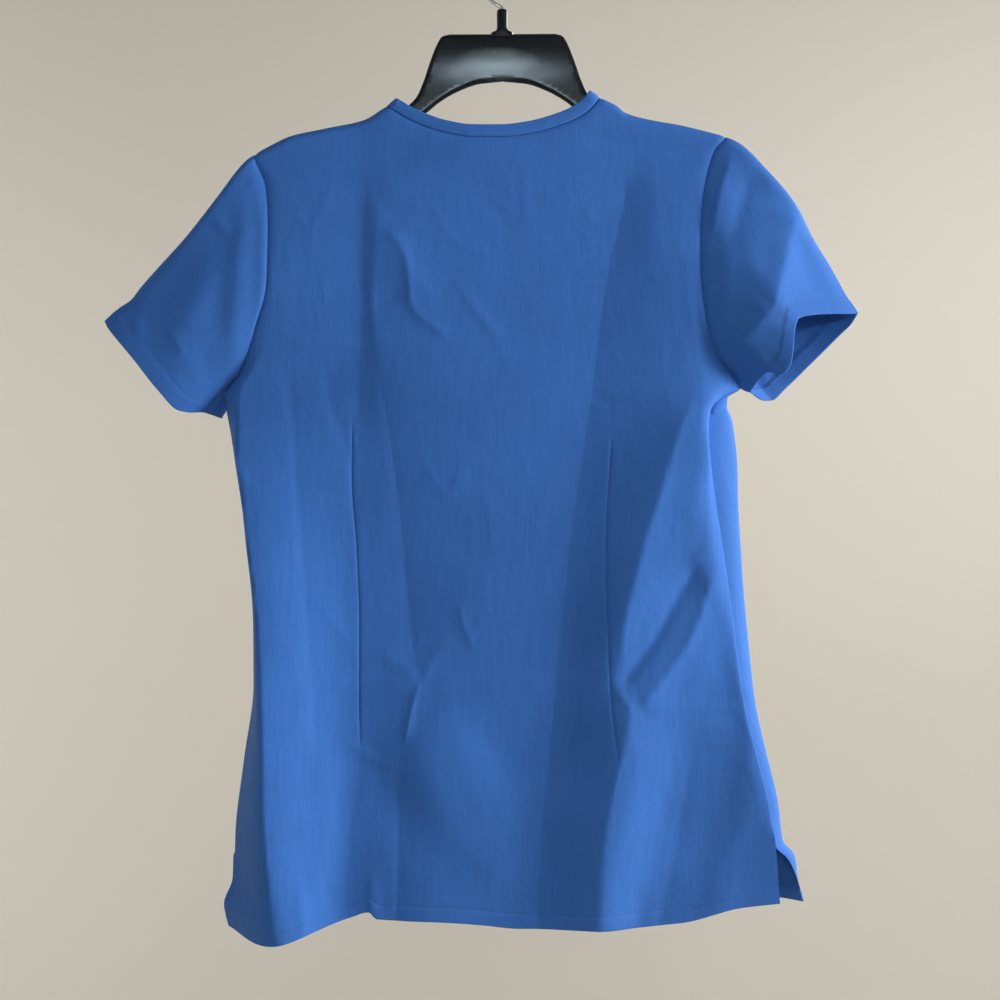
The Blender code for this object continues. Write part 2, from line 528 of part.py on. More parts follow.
def garment(finish):
    """Builds the four cut pieces and the neckband."""
    back, front = back_surface(), front_surface()
    armpit = len(ARMHOLE_LEVELS) - 1
    vent = LEVELS.index(VENT_TOP)
    arm, side = slice(0, armpit + 1), slice(armpit, vent + 1)
    for edge in (0, -1):
        front[side, edge] = back[side, edge]
        front[0, edge] = back[0, edge]
    left = sleeve_surface(back[arm, 0], front[arm, 0], LEFT_SLEEVE, LEFT_SLEEVE_FOLDS)
    right = sleeve_surface(back[arm, -1], front[arm, -1], RIGHT_SLEEVE, RIGHT_SLEEVE_FOLDS)

    back_normals, front_normals = grid_normals(back, False), -grid_normals(front, False)
    left_normals, right_normals = grid_normals(left, True), -grid_normals(right, True)
    back_half = list(range(armpit + 1))
    front_half = [0] + list(range(2 * armpit - 1, armpit - 1, -1))
    for edge, sleeve in ((0, left_normals), (-1, right_normals)):
        share_normals((back_normals, (arm, edge)), (sleeve, (0, back_half)))
        share_normals((front_normals, (arm, edge)), (sleeve, (0, front_half)))
        share_normals((back_normals, (side, edge)), (front_normals, (side, edge)))
        share_normals((back_normals, (0, edge)), (front_normals, (0, edge)), (sleeve, (0, 0)))
        back_normals[armpit, edge] = STRAIGHT_DOWN
        front_normals[armpit, edge] = STRAIGHT_DOWN
        sleeve[0, armpit] = STRAIGHT_DOWN
    neck_left, neck_right = LEFT_COLUMNS.index(NECK_LEFT), len(RIGHT_COLUMNS)
    for shoulder in (slice(0, neck_left + 1), slice(-neck_right, None)):
        share_normals((back_normals, (0, shoulder)), (front_normals, (0, shoulder)))

    band = neckband_surface(round_neck(back[0], front[0]), round_neck(back_normals[0], front_normals[0]))
    band_normals = -grid_normals(band, True)
    band_normals[0] = round_neck(back_normals[0], front_normals[0])

    for panel in (back, front):
        draw_back(panel, (slice(0, vent + 1), 0), (slice(0, vent + 1), 1), SEAM_GAP / 2)
        draw_back(panel, (slice(0, vent + 1), -1), (slice(0, vent + 1), -2), SEAM_GAP / 2)
        draw_back(panel, (0, slice(None)), (1, slice(None)), SEAM_GAP / 2)
    for ring, distance in ((left, SLEEVE_DRAW), (right, SLEEVE_DRAW), (band, BAND_DRAW)):
        draw_back(ring, (0, slice(None)), (1, slice(None)), distance)

    panel_walls = np.where(np.asarray(LEVELS) > HEM_START, HEM_WALL, WALL)
    sleeve_walls = np.where(np.asarray(SLEEVE_ROWS) > CUFF_SHARE, HEM_WALL, WALL)
    cloth_piece("back_panel", back, back_normals, panel_walls, False, finish)
    cloth_piece("front_panel", front, front_normals, panel_walls, False, finish)
    cloth_piece("left_sleeve", left, left_normals, sleeve_walls, True, finish)
    cloth_piece("right_sleeve", right, right_normals, sleeve_walls, True, finish)
    cloth_piece("neckband", band, band_normals, np.full(len(band), BAND_WALL), True, finish)


def hanger(finish):
    """The moulded hanger: a thick plate with rounded edges, and the round neck that holds the hook."""
    outline = list(HANGER_OUTLINE) + [(-x, z) for x, z in reversed(HANGER_OUTLINE[:-1])]
    bm = bmesh.new()
    face = bm.faces.new([bm.verts.new((x, -HANGER_DEPTH / 2, z)) for x, z in outline])
    made = bmesh.ops.extrude_face_region(bm, geom=[face], use_keep_orig=True)["geom"]
    far = [item for item in made if isinstance(item, bmesh.types.BMVert)]
    bmesh.ops.translate(bm, verts=far, vec=(0, HANGER_DEPTH, 0))
    bmesh.ops.recalc_face_normals(bm, faces=bm.faces)
    rims = [edge for edge in bm.edges if abs(edge.verts[0].co.y - edge.verts[1].co.y) < HANGER_DEPTH / 2]
    bmesh.ops.bevel(bm, geom=rims, offset=HANGER_BEVEL, segments=2, profile=0.5, affect="EDGES")
    tilt_hanger(bm)
    plate = add_object("hanger", bm, finish)

    bm = bmesh.new()
    profile = [bm.verts.new((radius, 0, z)) for radius, z in NECK_PROFILE]
    edges = [bm.edges.new(pair) for pair in zip(profile, profile[1:])]
    bmesh.ops.spin(bm, geom=profile + edges, cent=(0, 0, 0), axis=(0, 0, 1), angle=2 * math.pi,
                   steps=NECK_SIDES, use_merge=True)
    bmesh.ops.remove_doubles(bm, verts=bm.verts, dist=1e-4)
    for vert in bm.verts:
        vert.co.y = max(-NECK_HALF_DEPTH, min(NECK_HALF_DEPTH, vert.co.y))
    bmesh.ops.recalc_face_normals(bm, faces=bm.faces)
    neck = add_object("hanger_neck_tool", bm, finish)
    neck.hide_render = True
    neck.display_type = "WIRE"
    join = plate.modifiers.new("neck", "BOOLEAN")
    join.operation = "UNION"
    join.solver = "EXACT"
    join.object = neck


def tilt_hanger(bm):
    """Tips the hanger about the foot of its hook, as the uneven weight of the cloth does."""
    turn = Matrix.Rotation(-HANGER_TILT, 3, "Y")
    bmesh.ops.rotate(bm, verts=bm.verts, cent=(0, 0, NECK_TOP), matrix=turn)


def hook(finish):
    """The wire hook: a round crook over the rod and a shank that bends in to the neck."""
    centre = WIRE_RADIUS - CROOK_RADIUS
    turns = np.linspace(CROOK_OPEN_END, CROOK_LEAVES, CROOK_POINTS)
    route = [(CROOK_RADIUS * math.cos(turn), centre + CROOK_RADIUS * math.sin(turn)) for turn in turns]
    route += HOOK_SHANK
    curve = bpy.data.curves.new("hook", "CURVE")
    curve.dimensions = "3D"
    curve.bevel_depth = WIRE_RADIUS * MM
    curve.bevel_resolution = 2
    curve.use_fill_caps = True
    curve.materials.append(finish)
    spline = curve.splines.new("POLY")
    spline.points.add(len(route) - 1)
    for point, (x, z) in zip(spline.points, route):
        point.co = (x * MM, 0, z * MM, 1)
    spline.use_smooth = True
    made = bpy.data.objects.new("hook", curve)
    bpy.context.scene.collection.objects.link(made)


def main():
    """Builds every piece in order."""
    clear_scene()
    cloth, plastic, steel = (material(*finish) for finish in (CLOTH, PLASTIC, STEEL))
    garment(cloth)
    hanger(plastic)
    hook(steel)


main()
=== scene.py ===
"""A short-sleeved scrub top on a moulded coat hanger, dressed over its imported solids.

The row frame has its origin at the inner apex of the hanger's hook, +Z up, the back of the top towards -Y
and the wearer's right hand at +X. Sizes are millimetres until a mesh is written, and metres in the finishes
and the studio. A cut piece of the top is a grid of points with a thin wall behind it, laid out from the cut
and hung from the same edges, crests and hollows as its solid, with its creases, turned hems, darts and
stitches added.
"""

import sys

import logging
import math
from dataclasses import dataclass, field
from enum import Enum

import bmesh
import bpy
import numpy as np
from mathutils import Matrix, Vector


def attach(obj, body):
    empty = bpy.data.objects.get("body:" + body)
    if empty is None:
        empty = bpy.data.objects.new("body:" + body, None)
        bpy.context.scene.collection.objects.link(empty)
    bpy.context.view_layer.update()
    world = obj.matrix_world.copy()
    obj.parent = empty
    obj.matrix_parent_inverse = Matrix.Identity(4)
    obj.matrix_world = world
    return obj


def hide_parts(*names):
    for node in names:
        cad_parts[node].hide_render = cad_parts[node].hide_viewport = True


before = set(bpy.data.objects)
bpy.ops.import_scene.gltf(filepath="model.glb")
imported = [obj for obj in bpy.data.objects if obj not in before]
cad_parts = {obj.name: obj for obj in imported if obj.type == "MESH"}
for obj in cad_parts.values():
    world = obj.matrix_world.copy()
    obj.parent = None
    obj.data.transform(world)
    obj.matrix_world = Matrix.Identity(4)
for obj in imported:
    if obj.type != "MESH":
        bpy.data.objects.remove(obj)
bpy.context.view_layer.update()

LOG = logging.getLogger("scrub_top")
MM = 0.001
BODY = "root"
WEAVE_MAP = "weave"
WELD = 1e-4             # points of a turned or drawn form that are nearer than this are joined
RING_WELD = 1e-5        # and the same for the ends of a ring of cloth

Table = tuple[tuple[float, ...], ...]
Folds = tuple[tuple[str, tuple[float, float], tuple[float, float], float, float], ...]
Colour = tuple[float, float, float]
Grain = tuple[float, float, float]      # noise scales along x, y and z, per metre
Line = tuple[np.ndarray, np.ndarray]    # points on the cloth, and the directions out of it there

# The roll of the cloth over the hanger's arm, with the shoulder seam a little in front of its crest.
ROLL = 8.0
SEAM_ANGLE = math.asin(3.0 / ROLL)
BACK_ARC = ROLL * (math.pi / 2 + SEAM_ANGLE)
FRONT_ARC = ROLL * (math.pi / 2 - SEAM_ANGLE)
ROLL_FADE = 26.0
NECK_FADE = 0.30

# Levels of a panel, as shares of its side: 0 is the shoulder and 1 the hem.
ARMPIT = 0.33
VENT_TOP = 0.905

# The neck lies between these shares of a panel's width.
NECK_LEFT = 0.275
NECK_RIGHT = 0.739

# The shoulders, along x.
SHOULDER_START = -197
SHOULDER_WIDTH = 375

# Crest of the shoulders, and the height the cloth would have across the neck. Columns: x, z.
SHOULDER_CREST = (
    (-197, -172), (-182, -164), (-169, -158), (-142, -152), (-110, -145), (-95, -136), (-85, -130),
    (71, -124), (80, -128), (92, -134), (98, -139), (110, -143), (146, -150), (178, -158))

# How far the neck is cut down below the shoulder seams. Columns: x, drop along the cloth.
BACK_NECK = ((-94, 0), (-89, 13), (-85, 17), (-64, 30), (-44, 38), (-25, 42), (2, 43), (21, 41), (47, 34),
             (68, 23), (75, 14.5), (80, 0))
FRONT_NECK = ((-94, 0), (-85, 15), (-62, 58), (-6, 160), (48, 60), (71, 15), (80, 0))

# Edges of the panels below the shoulder. Columns: z, x, y of the back, y of the front.
LEFT_EDGE = (
    (-164, -197, -8, 8), (-172, -197, -8, 8), (-201, -187, -9, 9), (-238, -185, -13, 14),
    (-278, -186, -15, 17), (-312, -195, -13, 15), (-346, -207, -8, 9), (-366, -222, -2, -2),
    (-399, -218, 2, 2), (-436, -212, 3, 3), (-473, -206, 4, 4), (-504, -203, 5, 5), (-547, -201, 6, 6),
    (-596, -201, 7, 7), (-658, -209, 8, 8), (-717, -216, 8, 8), (-753, -217, 8, 10), (-774, -224, 8, 12),
    (-792, -220, 8, 14))
RIGHT_EDGE = (
    (-150, 178, -8, 8), (-158, 178, -8, 8), (-171, 169, -9, 9), (-213, 159, -14, 14), (-254, 157, -17, 18),
    (-302, 161, -18, 19), (-334, 171, -14, 14), (-361, 190, -6, -6), (-368, 176, -9, -9),
    (-378, 166, -14, -14), (-394, 164, -18, -18), (-435, 167, -20, -20), (-478, 173, -22, -22),
    (-544, 182, -24, -24), (-607, 190, -25, -25), (-652, 201, -26, -26), (-689, 210, -26, -26),
    (-719, 214, -26, -26), (-764, 217, -28, -28))
# The front's own edge below the right vent, which swings out. Columns: z, x, y.
FRONT_VENT_EDGE = ((-652, 201, -26), (-689, 210, -26), (-719, 214, -25), (-728, 224, -18), (-746, 234, -6),
                   (-772, 243, 8))

# Foot of the panels. Columns: share of the width, x, z.
BACK_HEM = ((0.0, -220, -792), (0.045, -197, -795), (0.10, -172, -792), (0.165, -146, -784),
            (0.23, -118, -775), (0.26, -104, -771), (0.275, -98, -776), (0.40, -44, -778), (0.46, -17, -780),
            (0.535, 14, -783), (0.68, 79, -783), (0.82, 140, -779), (0.925, 184, -768), (1.0, 217, -764))
FRONT_HEM = ((0.0, -218, -790), (0.10, -176, -786), (0.25, -112, -779), (0.36, -62, -778), (0.5, 4, -770),
             (0.74, 120, -781), (0.80, 148, -782), (0.90, 190, -772), (1.0, 243, -772))

# Levels of the points of the lines that run down the back, below each line's first point.
LINE_LEVELS = (-213, -252, -292, -331, -370, -409, -449, -488, -527, -567, -606, -645, -685, -724, -763, -796)


def line_down(first: tuple[float, ...], places: tuple[float, ...], depths: tuple[float, ...]) -> Table:
    """Gives a line's rows of z, x and y: its first row, and its x and y at the shared levels."""
    return first, *zip(LINE_LEVELS, places, depths)


# Crests and hollows of the back.
BACK_LINES = {
    "left ridge": line_down(
        (-179, -183, -9),
        (-178, -174, -178, -189, -208, -208, -202, -197, -191, -188, -187, -185, -184, -181, -177, -171),
        (-11, -14.2, -14.8, -13, -14, -22, -30, -36, -39, -41, -42.5, -43.5, -45, -45, -45, -45)),
    "left hollow": line_down(
        (-171, -125, -10),
        (-117, -115, -112, -114, -116, -116, -116, -114, -112, -111, -110, -110, -114, -118, -121, -119),
        (-11.5, -13.5, -14, -13.5, -15, -19.5, -22, -22, -22.5, -23, -23.5, -24, -24, -24, -26, -29)),
    "left roll": line_down(
        (-171, -85, -10),
        (-96, -98, -100, -98, -92, -84, -82, -79, -75, -68, -61, -57, -54, -53, -52, -51),
        (-14, -16, -16.5, -17, -19, -22, -24, -23.5, -23.5, -24, -25, -27, -28, -28, -30, -33)),
    "centre": line_down(
        (-172, -25, -13),
        (-21, -17, -17, -17, -17, -17, -15, -13, -11, -9, -6, -2, 2, 5, 7, 8),
        (-14, -16, -17.5, -18.5, -22, -24.5, -26, -26, -26.5, -26, -26, -26, -26, -26.5, -29, -31.5)),
    "long valley": line_down(
        (-178, 103, -10),
        (96, 88, 80, 75, 69, 63, 58, 54, 50, 46, 42, 38, 34, 32, 30, 30),
        (-13, -15.5, -17, -18.5, -22, -25, -26, -27, -27, -26.5, -26.5, -27, -28, -28, -30, -32)),
    "right ridge": line_down(
        (-171, 121, -10),
        (123, 127, 133, 140, 144, 135, 124, 113, 103, 93, 95, 98, 93, 84, 80, 78),
        (-15, -18, -19.5, -20, -25.5, -31, -33.5, -34.5, -35, -34, -35, -36, -35, -36, -36, -37)),
    "right hollow": line_down(
        (-171, 142, -10),
        (141, 142, 146, 152, 156, 151, 147, 146, 147, 147, 148, 143, 135, 126, 113, 107),
        (-15.2, -18.2, -19.7, -19, -25.5, -32, -33, -32, -30, -29.5, -27, -27, -26.5, -27, -28.5, -31)),
    "right crest": line_down(
        (-171, 157, -10),
        (152, 152, 154, 161, 166, 162, 160, 163, 169, 176, 180, 181, 175, 171, 168, 168),
        (-14.6, -17.6, -18.8, -16, -23.5, -31, -30, -30, -27, -25, -24, -25, -25, -24, -27, -30)),
}
LINE_ROOM = 4.0         # the least room between two of these lines beside a seam
LINE_SHARE = 0.25       # and the part of it that they keep elsewhere
DRAW_REACH = 0.06       # the levels below the shoulder over which the columns are drawn onto their lines
FOLD_FADE = 20.0        # how far from a side seam the broad folds reach their height

# Broad folds that cross the back. Columns: name, start (x, z), end (x, z), half width, height.
BACK_FOLDS = (
    ("hollow from the right side", (161, -478), (88, -588), 16, -0.8),
    ("crest under it", (152, -516), (100, -610), 14, 0.6),
    ("crease below the left dart", (-112, -634), (-52, -740), 18, -1.8),
    ("crest across the seat", (-56, -606), (10, -716), 20, 2.4),
    ("pressed line", (-180, -592), (100, -596), 12, 0.8),
    ("upper left wrinkle", (-95, -230), (-48, -312), 14, 1.4),
)

# Depth of the front, by share of its width at each level. The first column is z.
FRONT_SHARES = (0.04, 0.15, 0.32, 0.5, 0.66, 0.85, 0.95)
FRONT_DEPTHS = (
    (-170, 8, 9, 9, 10, 9, 9, 8), (-250, 17, 22, 25, 22, 24, 22, 18), (-366, 13, 26, 31, 29, 31, 27, 15),
    (-470, 17, 27, 33, 30, 32, 28, 16), (-600, 18, 29, 28, 34, 29, 30, 18),
    (-700, 21, 31, 26, 35, 27, 31, 20), (-790, 24, 35, 25, 36, 27, 33, 24))
# How far the front swings out past its side seams. Columns: z, left, right.
FRONT_BULGE = ((-340, 0, 0), (-362, 0, 6), (-372, 1, 22), (-390, 2, 33), (-411, 2, 35), (-473, 3, 29),
               (-543, 3, 24), (-606, 3, 23), (-643, 3, 22), (-687, 2, 22), (-704, 2, 22), (-725, 1, 22),
               (-745, 0, 14), (-765, 0, 3))
BULGE_REACH = 0.035

# Sleeves. Fold at the top and seam under the arm: x, y, z. Cuff: share of the way down, x, y, z.
LEFT_TOP = ((-197, 3, -172.6), (-205, 1, -179), (-226, 0, -205), (-250, 0, -235), (-290, 0, -280),
            (-297, 0, -289), (-306, 0, -295), (-318, 0, -306))
LEFT_UNDER = ((-222, -2, -366), (-238, -1, -379))
LEFT_BACK_CUFF = (
    (0.0, -318, 0, -306), (0.06, -314, -5, -312), (0.14, -307, -9, -320), (0.3, -293, -13, -336),
    (0.55, -272, -15, -362), (0.74, -256, -12, -378), (0.86, -247, -8, -379.5), (0.95, -241, -4, -379),
    (1.0, -238, -1, -379))
LEFT_FRONT_CUFF = (
    (0.0, -318, 0, -306), (0.06, -313, 5, -312), (0.14, -305, 9, -319), (0.3, -290, 14, -332),
    (0.55, -267, 18, -355), (0.7, -250, 18, -371), (0.8, -237, 17, -379), (0.88, -227, 13, -383),
    (0.95, -229, 6, -382), (1.0, -238, -1, -379))
RIGHT_TOP = ((178, 3, -158.6), (189, 1, -164), (211, -2, -185), (235, -4, -214), (248, -4, -240),
             (263, -4, -265), (274, -4, -285), (284, -4, -300))
RIGHT_UNDER = ((190, -6, -361), (198, -4, -363))
RIGHT_BACK_CUFF = (
    (0.0, 284, -4, -300), (0.06, 275, -9, -301), (0.16, 258, -16, -302), (0.34, 232, -28, -307),
    (0.42, 228, -32, -317), (0.62, 225, -34, -341), (0.72, 218, -32, -351), (0.8, 209, -26, -349),
    (0.91, 202, -16, -355), (1.0, 198, -4, -363))
RIGHT_FRONT_CUFF = (
    (0.0, 284, -4, -300), (0.05, 282, 6, -306), (0.14, 274, 14, -315), (0.35, 255, 24, -335),
    (0.6, 231, 30, -359), (0.7, 222, 30, -367), (0.78, 214, 24, -368), (0.9, 203, 10, -364),
    (1.0, 198, -4, -363))
# Broad folds across a sleeve. Columns: name, start (x, z), end (x, z), half width, height.
LEFT_SLEEVE_FOLDS = (("roll along the armhole", (-204, -200), (-214, -350), 9, 1.8),
                     ("crest to the cuff", (-222, -240), (-262, -346), 18, 3))
RIGHT_SLEEVE_FOLDS = (("crest of the cap", (232, -220), (214, -296), 15, 3),
                      ("hollow to the armpit", (208, -306), (182, -338), 12, 0.5),
                      ("roll along the armhole", (178, -200), (176, -310), 8, 0.8))

# What each piece shows of its cut: width, length and area in metres, and the stitches that are sewn on it.
CUTS = {
    "back_panel": (0.47, 0.66, 0.262, ("back_hem",)),
    "front_panel": (0.47, 0.66, 0.262, ("front_hem",)),
    "left_sleeve": (0.40, 0.17, 0.034, ("left_cuff",)),
    "right_sleeve": (0.40, 0.17, 0.036, ("right_cuff",)),
    "neckband": (0.60, 0.0105, 0.0058, ("neckband",)),
}

# Hanger. The outline is one side's: x from the centre, z.
HANGER_OUTLINE = (
    (42, -76.4), (48, -78), (51.5, -83), (57, -96), (63, -113.5), (69, -126.5), (77, -134), (86, -137.6),
    (95, -141.0), (98, -142.6), (110, -146.6), (142, -153.1), (169, -159.5), (178, -162.7), (184, -168),
    (185.5, -173), (182, -177), (165, -174), (138, -168.5), (110, -162), (90, -154), (74, -147), (62, -139.5),
    (50, -130), (36, -122), (19, -116), (0, -114))
# The round neck that holds the hook. Columns: radius, z.
HANGER_NECK = ((0.0, -62.0), (1.7, -62.0), (1.7, -56.6), (2.3, -56.4), (3.2, -56.7), (3.9, -57.4),
               (4.2, -58.6), (4.2, -71.4), (4.6, -72.8), (5.8, -74.2), (9.0, -75.8), (9.0, -79.0),
               (0.0, -79.0))
# The hook's shank below its crook. Columns: x, z.
HOOK_SHANK = ((-17.6, -34.0), (-14.2, -42.0), (-9.6, -48.6), (-4.9, -52.4), (-1.7, -54.1), (-0.3, -55.2),
              (0.0, -56.3), (0.0, -61.7))

# The two darts of the back, from the shoulder blades to the seat. Columns: z, x.
LEFT_DART = ((-383, -118), (-430, -118), (-489, -114), (-547, -112), (-606, -112), (-648, -111))
RIGHT_DART = ((-395, 86), (-489, 81), (-534, 82), (-595, 84), (-658, 91))
# Lines of the back that its columns are drawn onto, by the share of the width where they crowd: the left
# dart, the fold from the yoke to the waist, the long valley and the right dart. Columns: z, x.
DRAWN_LINES = {
    0.215: ((-172, -122), (-383, -118), (-430, -118), (-489, -114), (-547, -112), (-606, -112), (-648, -111),
            (-800, -112)),
    0.275: ((-172, -104), (-205, -108), (-250, -110), (-292, -109), (-327, -103), (-394, -89), (-480, -78),
            (-557, -71), (-587, -65), (-657, -78), (-710, -81), (-800, -83)),
    0.680: ((-155, 60), (-180, 82), (-203, 95), (-228, 93), (-277, 82), (-345, 73), (-408, 64), (-466, 55),
            (-525, 48), (-579, 43), (-647, 37), (-714, 30), (-800, 27)),
    0.790: ((-155, 101), (-180, 115), (-210, 122), (-250, 118), (-320, 104), (-395, 88), (-489, 81),
            (-534, 82), (-595, 84), (-658, 91), (-800, 92)),
}
DART_DEPTH = 0.75
DART_WIDTH = 0.8
DART_ENDS = 20.0        # the length over which a dart dies out


class Fold(Enum):
    """How the cloth runs across a crease."""

    CREST = "soft ridge"
    HOLLOW = "valley with a sharp floor"
    PINCH = "ridge with a sharp top"


class Side(Enum):
    """A side of the top, as seen from behind. Its value is the column of a panel along that side's edge."""

    LEFT = 0
    RIGHT = -1


class Facing(Enum):
    """Which way a sheet of the top faces along y."""

    BACK = -1
    FRONT = 1


EDGES = {Side.LEFT: LEFT_EDGE, Side.RIGHT: RIGHT_EDGE}
ARMPITS = {Side.LEFT: -366, Side.RIGHT: -361}


# Curves and surfaces.

def monotone(t: np.ndarray, knots: np.ndarray, values: np.ndarray) -> np.ndarray:
    """Reads a smooth curve that never overshoots its points.

    Args:
        t: places to read, in the shape of one entry of knots.
        knots: places of the points along the first axis.
        values: values of the points along the first axis.

    Returns:
        The value at each place.
    """
    knots, values = np.asarray(knots, float), np.asarray(values, float)
    gaps = np.diff(knots, axis=0)
    slopes = np.diff(values, axis=0) / gaps
    before, after = slopes[:-1], slopes[1:]
    weight = (gaps[:-1] + 2 * gaps[1:], 2 * gaps[:-1] + gaps[1:])
    same_way = before * after > 0
    safe_before = np.where(same_way, before, 1.0)
    safe_after = np.where(same_way, after, 1.0)
    mean = (weight[0] + weight[1]) / (weight[0] / safe_before + weight[1] / safe_after)
    tangents = np.concatenate([slopes[:1], np.where(same_way, mean, 0.0), slopes[-1:]])
    t = np.clip(t, knots[0], knots[-1])
    index = np.clip(sum((t >= knot).astype(int) for knot in knots) - 1, 0, len(knots) - 2)

    def take(table: np.ndarray) -> np.ndarray:
        """Picks each place's own entry of a table."""
        return table[index] if knots.ndim == 1 else np.take_along_axis(table, index[None], axis=0)[0]

    gap = take(gaps)
    share = (t - take(knots)) / gap
    rise, fall = share * share * (3 - 2 * share), share * (1 - share)
    return (take(values) * (1 - rise) + take(values[1:]) * rise
            + gap * fall * ((1 - share) * take(tangents) - share * take(tangents[1:])))


def column(table: Table, key: int, value: int, at: np.ndarray) -> np.ndarray:
    """Reads one column of a table against another.

    Args:
        table: rows of numbers.
        key: column that the places are given in.
        value: column to read.
        at: places.

    Returns:
        The value at each place.
    """
    rows = sorted(table, key=lambda row: row[key])
    return monotone(np.asarray(at, float), [row[key] for row in rows], [row[value] for row in rows])


def coons(top: np.ndarray, bottom: np.ndarray, left: np.ndarray, right: np.ndarray,
          across: np.ndarray, down: np.ndarray) -> np.ndarray:
    """Fills a patch between four edges that share their corners.

    Args:
        top: points of the first row.
        bottom: points of the last row.
        left: points of the first column.
        right: points of the last column.
        across: share of the width at each column.
        down: share of the height at each row.

    Returns:
        The points, rows by columns.
    """
    u, v = np.asarray(across)[None, :, None], np.asarray(down)[:, None, None]
    sides = (1 - u) * left[:, None] + u * right[:, None]
    ends = (1 - v) * top[None] + v * bottom[None]
    corners = ((1 - u) * (1 - v) * top[0] + u * (1 - v) * top[-1]
               + (1 - u) * v * bottom[0] + u * v * bottom[-1])
    return sides + ends - corners


def arch(share: np.ndarray, steepness: float) -> np.ndarray:
    """Rises from 0 at both ends of a share, to 1 at most between them."""
    return np.clip(steepness * share * (1 - share), 0, 1)


def fold_height(folds: Folds, x: np.ndarray, z: np.ndarray) -> np.ndarray:
    """Adds up straight folds that fade to their ends and sides.

    Args:
        folds: rows of name, start, end, half width and height.
        x: places.
        z: places.

    Returns:
        The height at each place.
    """
    total = np.zeros_like(x)
    for _, start, end, half_width, height in folds:
        run = np.subtract(end, start)
        length = math.hypot(*run)
        share = ((x - start[0]) * run[0] + (z - start[1]) * run[1]) / length ** 2
        aside = ((x - start[0]) * run[1] - (z - start[1]) * run[0]) / length / half_width
        total += height * arch(share, 4) * np.exp(-aside ** 2)
    return total


def smooth(share: np.ndarray) -> np.ndarray:
    """Eases a share from 0 to 1."""
    share = np.clip(share, 0, 1)
    return share * share * (3 - 2 * share)


def crowded(count: int, places: tuple[float, ...], crowd: float, reach: float) -> np.ndarray:
    """Spaces shares from 0 to 1 so that they crowd near some places.

    Args:
        count: how many shares there are.
        places: shares to crowd at.
        crowd: how much closer they stand there.
        reach: how far the crowd goes.

    Returns:
        The shares, in order.
    """
    fine = np.linspace(0, 1, 4001)
    density = 1 + crowd * sum(np.exp(-np.abs(fine - place) / reach) for place in places)
    total = np.concatenate([[0], np.cumsum((density[1:] + density[:-1]) / 2)])
    return np.interp(np.linspace(0, total[-1], count), total, fine)


def unit(vectors: np.ndarray) -> np.ndarray:
    """Scales vectors to length 1."""
    return vectors / np.maximum(np.linalg.norm(vectors, axis=-1, keepdims=True), 1e-9)


def grid_normals(points: np.ndarray, ring: bool) -> np.ndarray:
    """Finds the unit normals of a grid of points.

    Args:
        points: rows by columns.
        ring: True where the last column meets the first.

    Returns:
        The normals.
    """
    across = np.roll(points, -1, axis=1) - np.roll(points, 1, axis=1) if ring else np.gradient(points, axis=1)
    return unit(np.cross(np.gradient(points, axis=0), across))


def lengths_along(points: np.ndarray, axis: int = 0) -> np.ndarray:
    """Gives each point's distance from the first one, along a route or along an axis of a grid."""
    steps = np.diff(points, axis=axis, prepend=np.take(points, [0], axis=axis))
    return np.cumsum(np.linalg.norm(steps, axis=-1), axis=axis)


def along(points: Table, shares: np.ndarray) -> np.ndarray:
    """Reads a smooth route through points.

    Args:
        points: the points, in a plane or in space.
        shares: places to read, as shares of the length.

    Returns:
        The point at each place.
    """
    points = np.asarray(points, float)
    lengths = lengths_along(points)
    return np.stack([monotone(np.asarray(shares), lengths / lengths[-1], points[:, k])
                     for k in range(points.shape[1])], axis=-1)


def between(at: np.ndarray, places: np.ndarray, values: np.ndarray) -> np.ndarray:
    """Reads points or directions at places that lie between their own, on straight lines."""
    return np.stack([np.interp(at, places, values[:, k]) for k in range(3)], axis=-1)


def from_sides(x: np.ndarray) -> np.ndarray:
    """Gives each point's distance across its row from the nearer side."""
    return np.minimum(x - x[:, :1], x[:, -1:] - x)


def layered(parts: list[np.ndarray | float], grid: np.ndarray) -> np.ndarray:
    """Stacks values, each of them repeated over the shape of a grid."""
    return np.stack([np.broadcast_to(part, grid.shape) for part in parts])


CREASE_STEPS = 6        # points on a crease's curve for each point of its path
CREASE_ROOM = 4.5       # how many times its width a crease reaches
CREASE_ENDS = 0.45      # the most of its length that each end dies out over


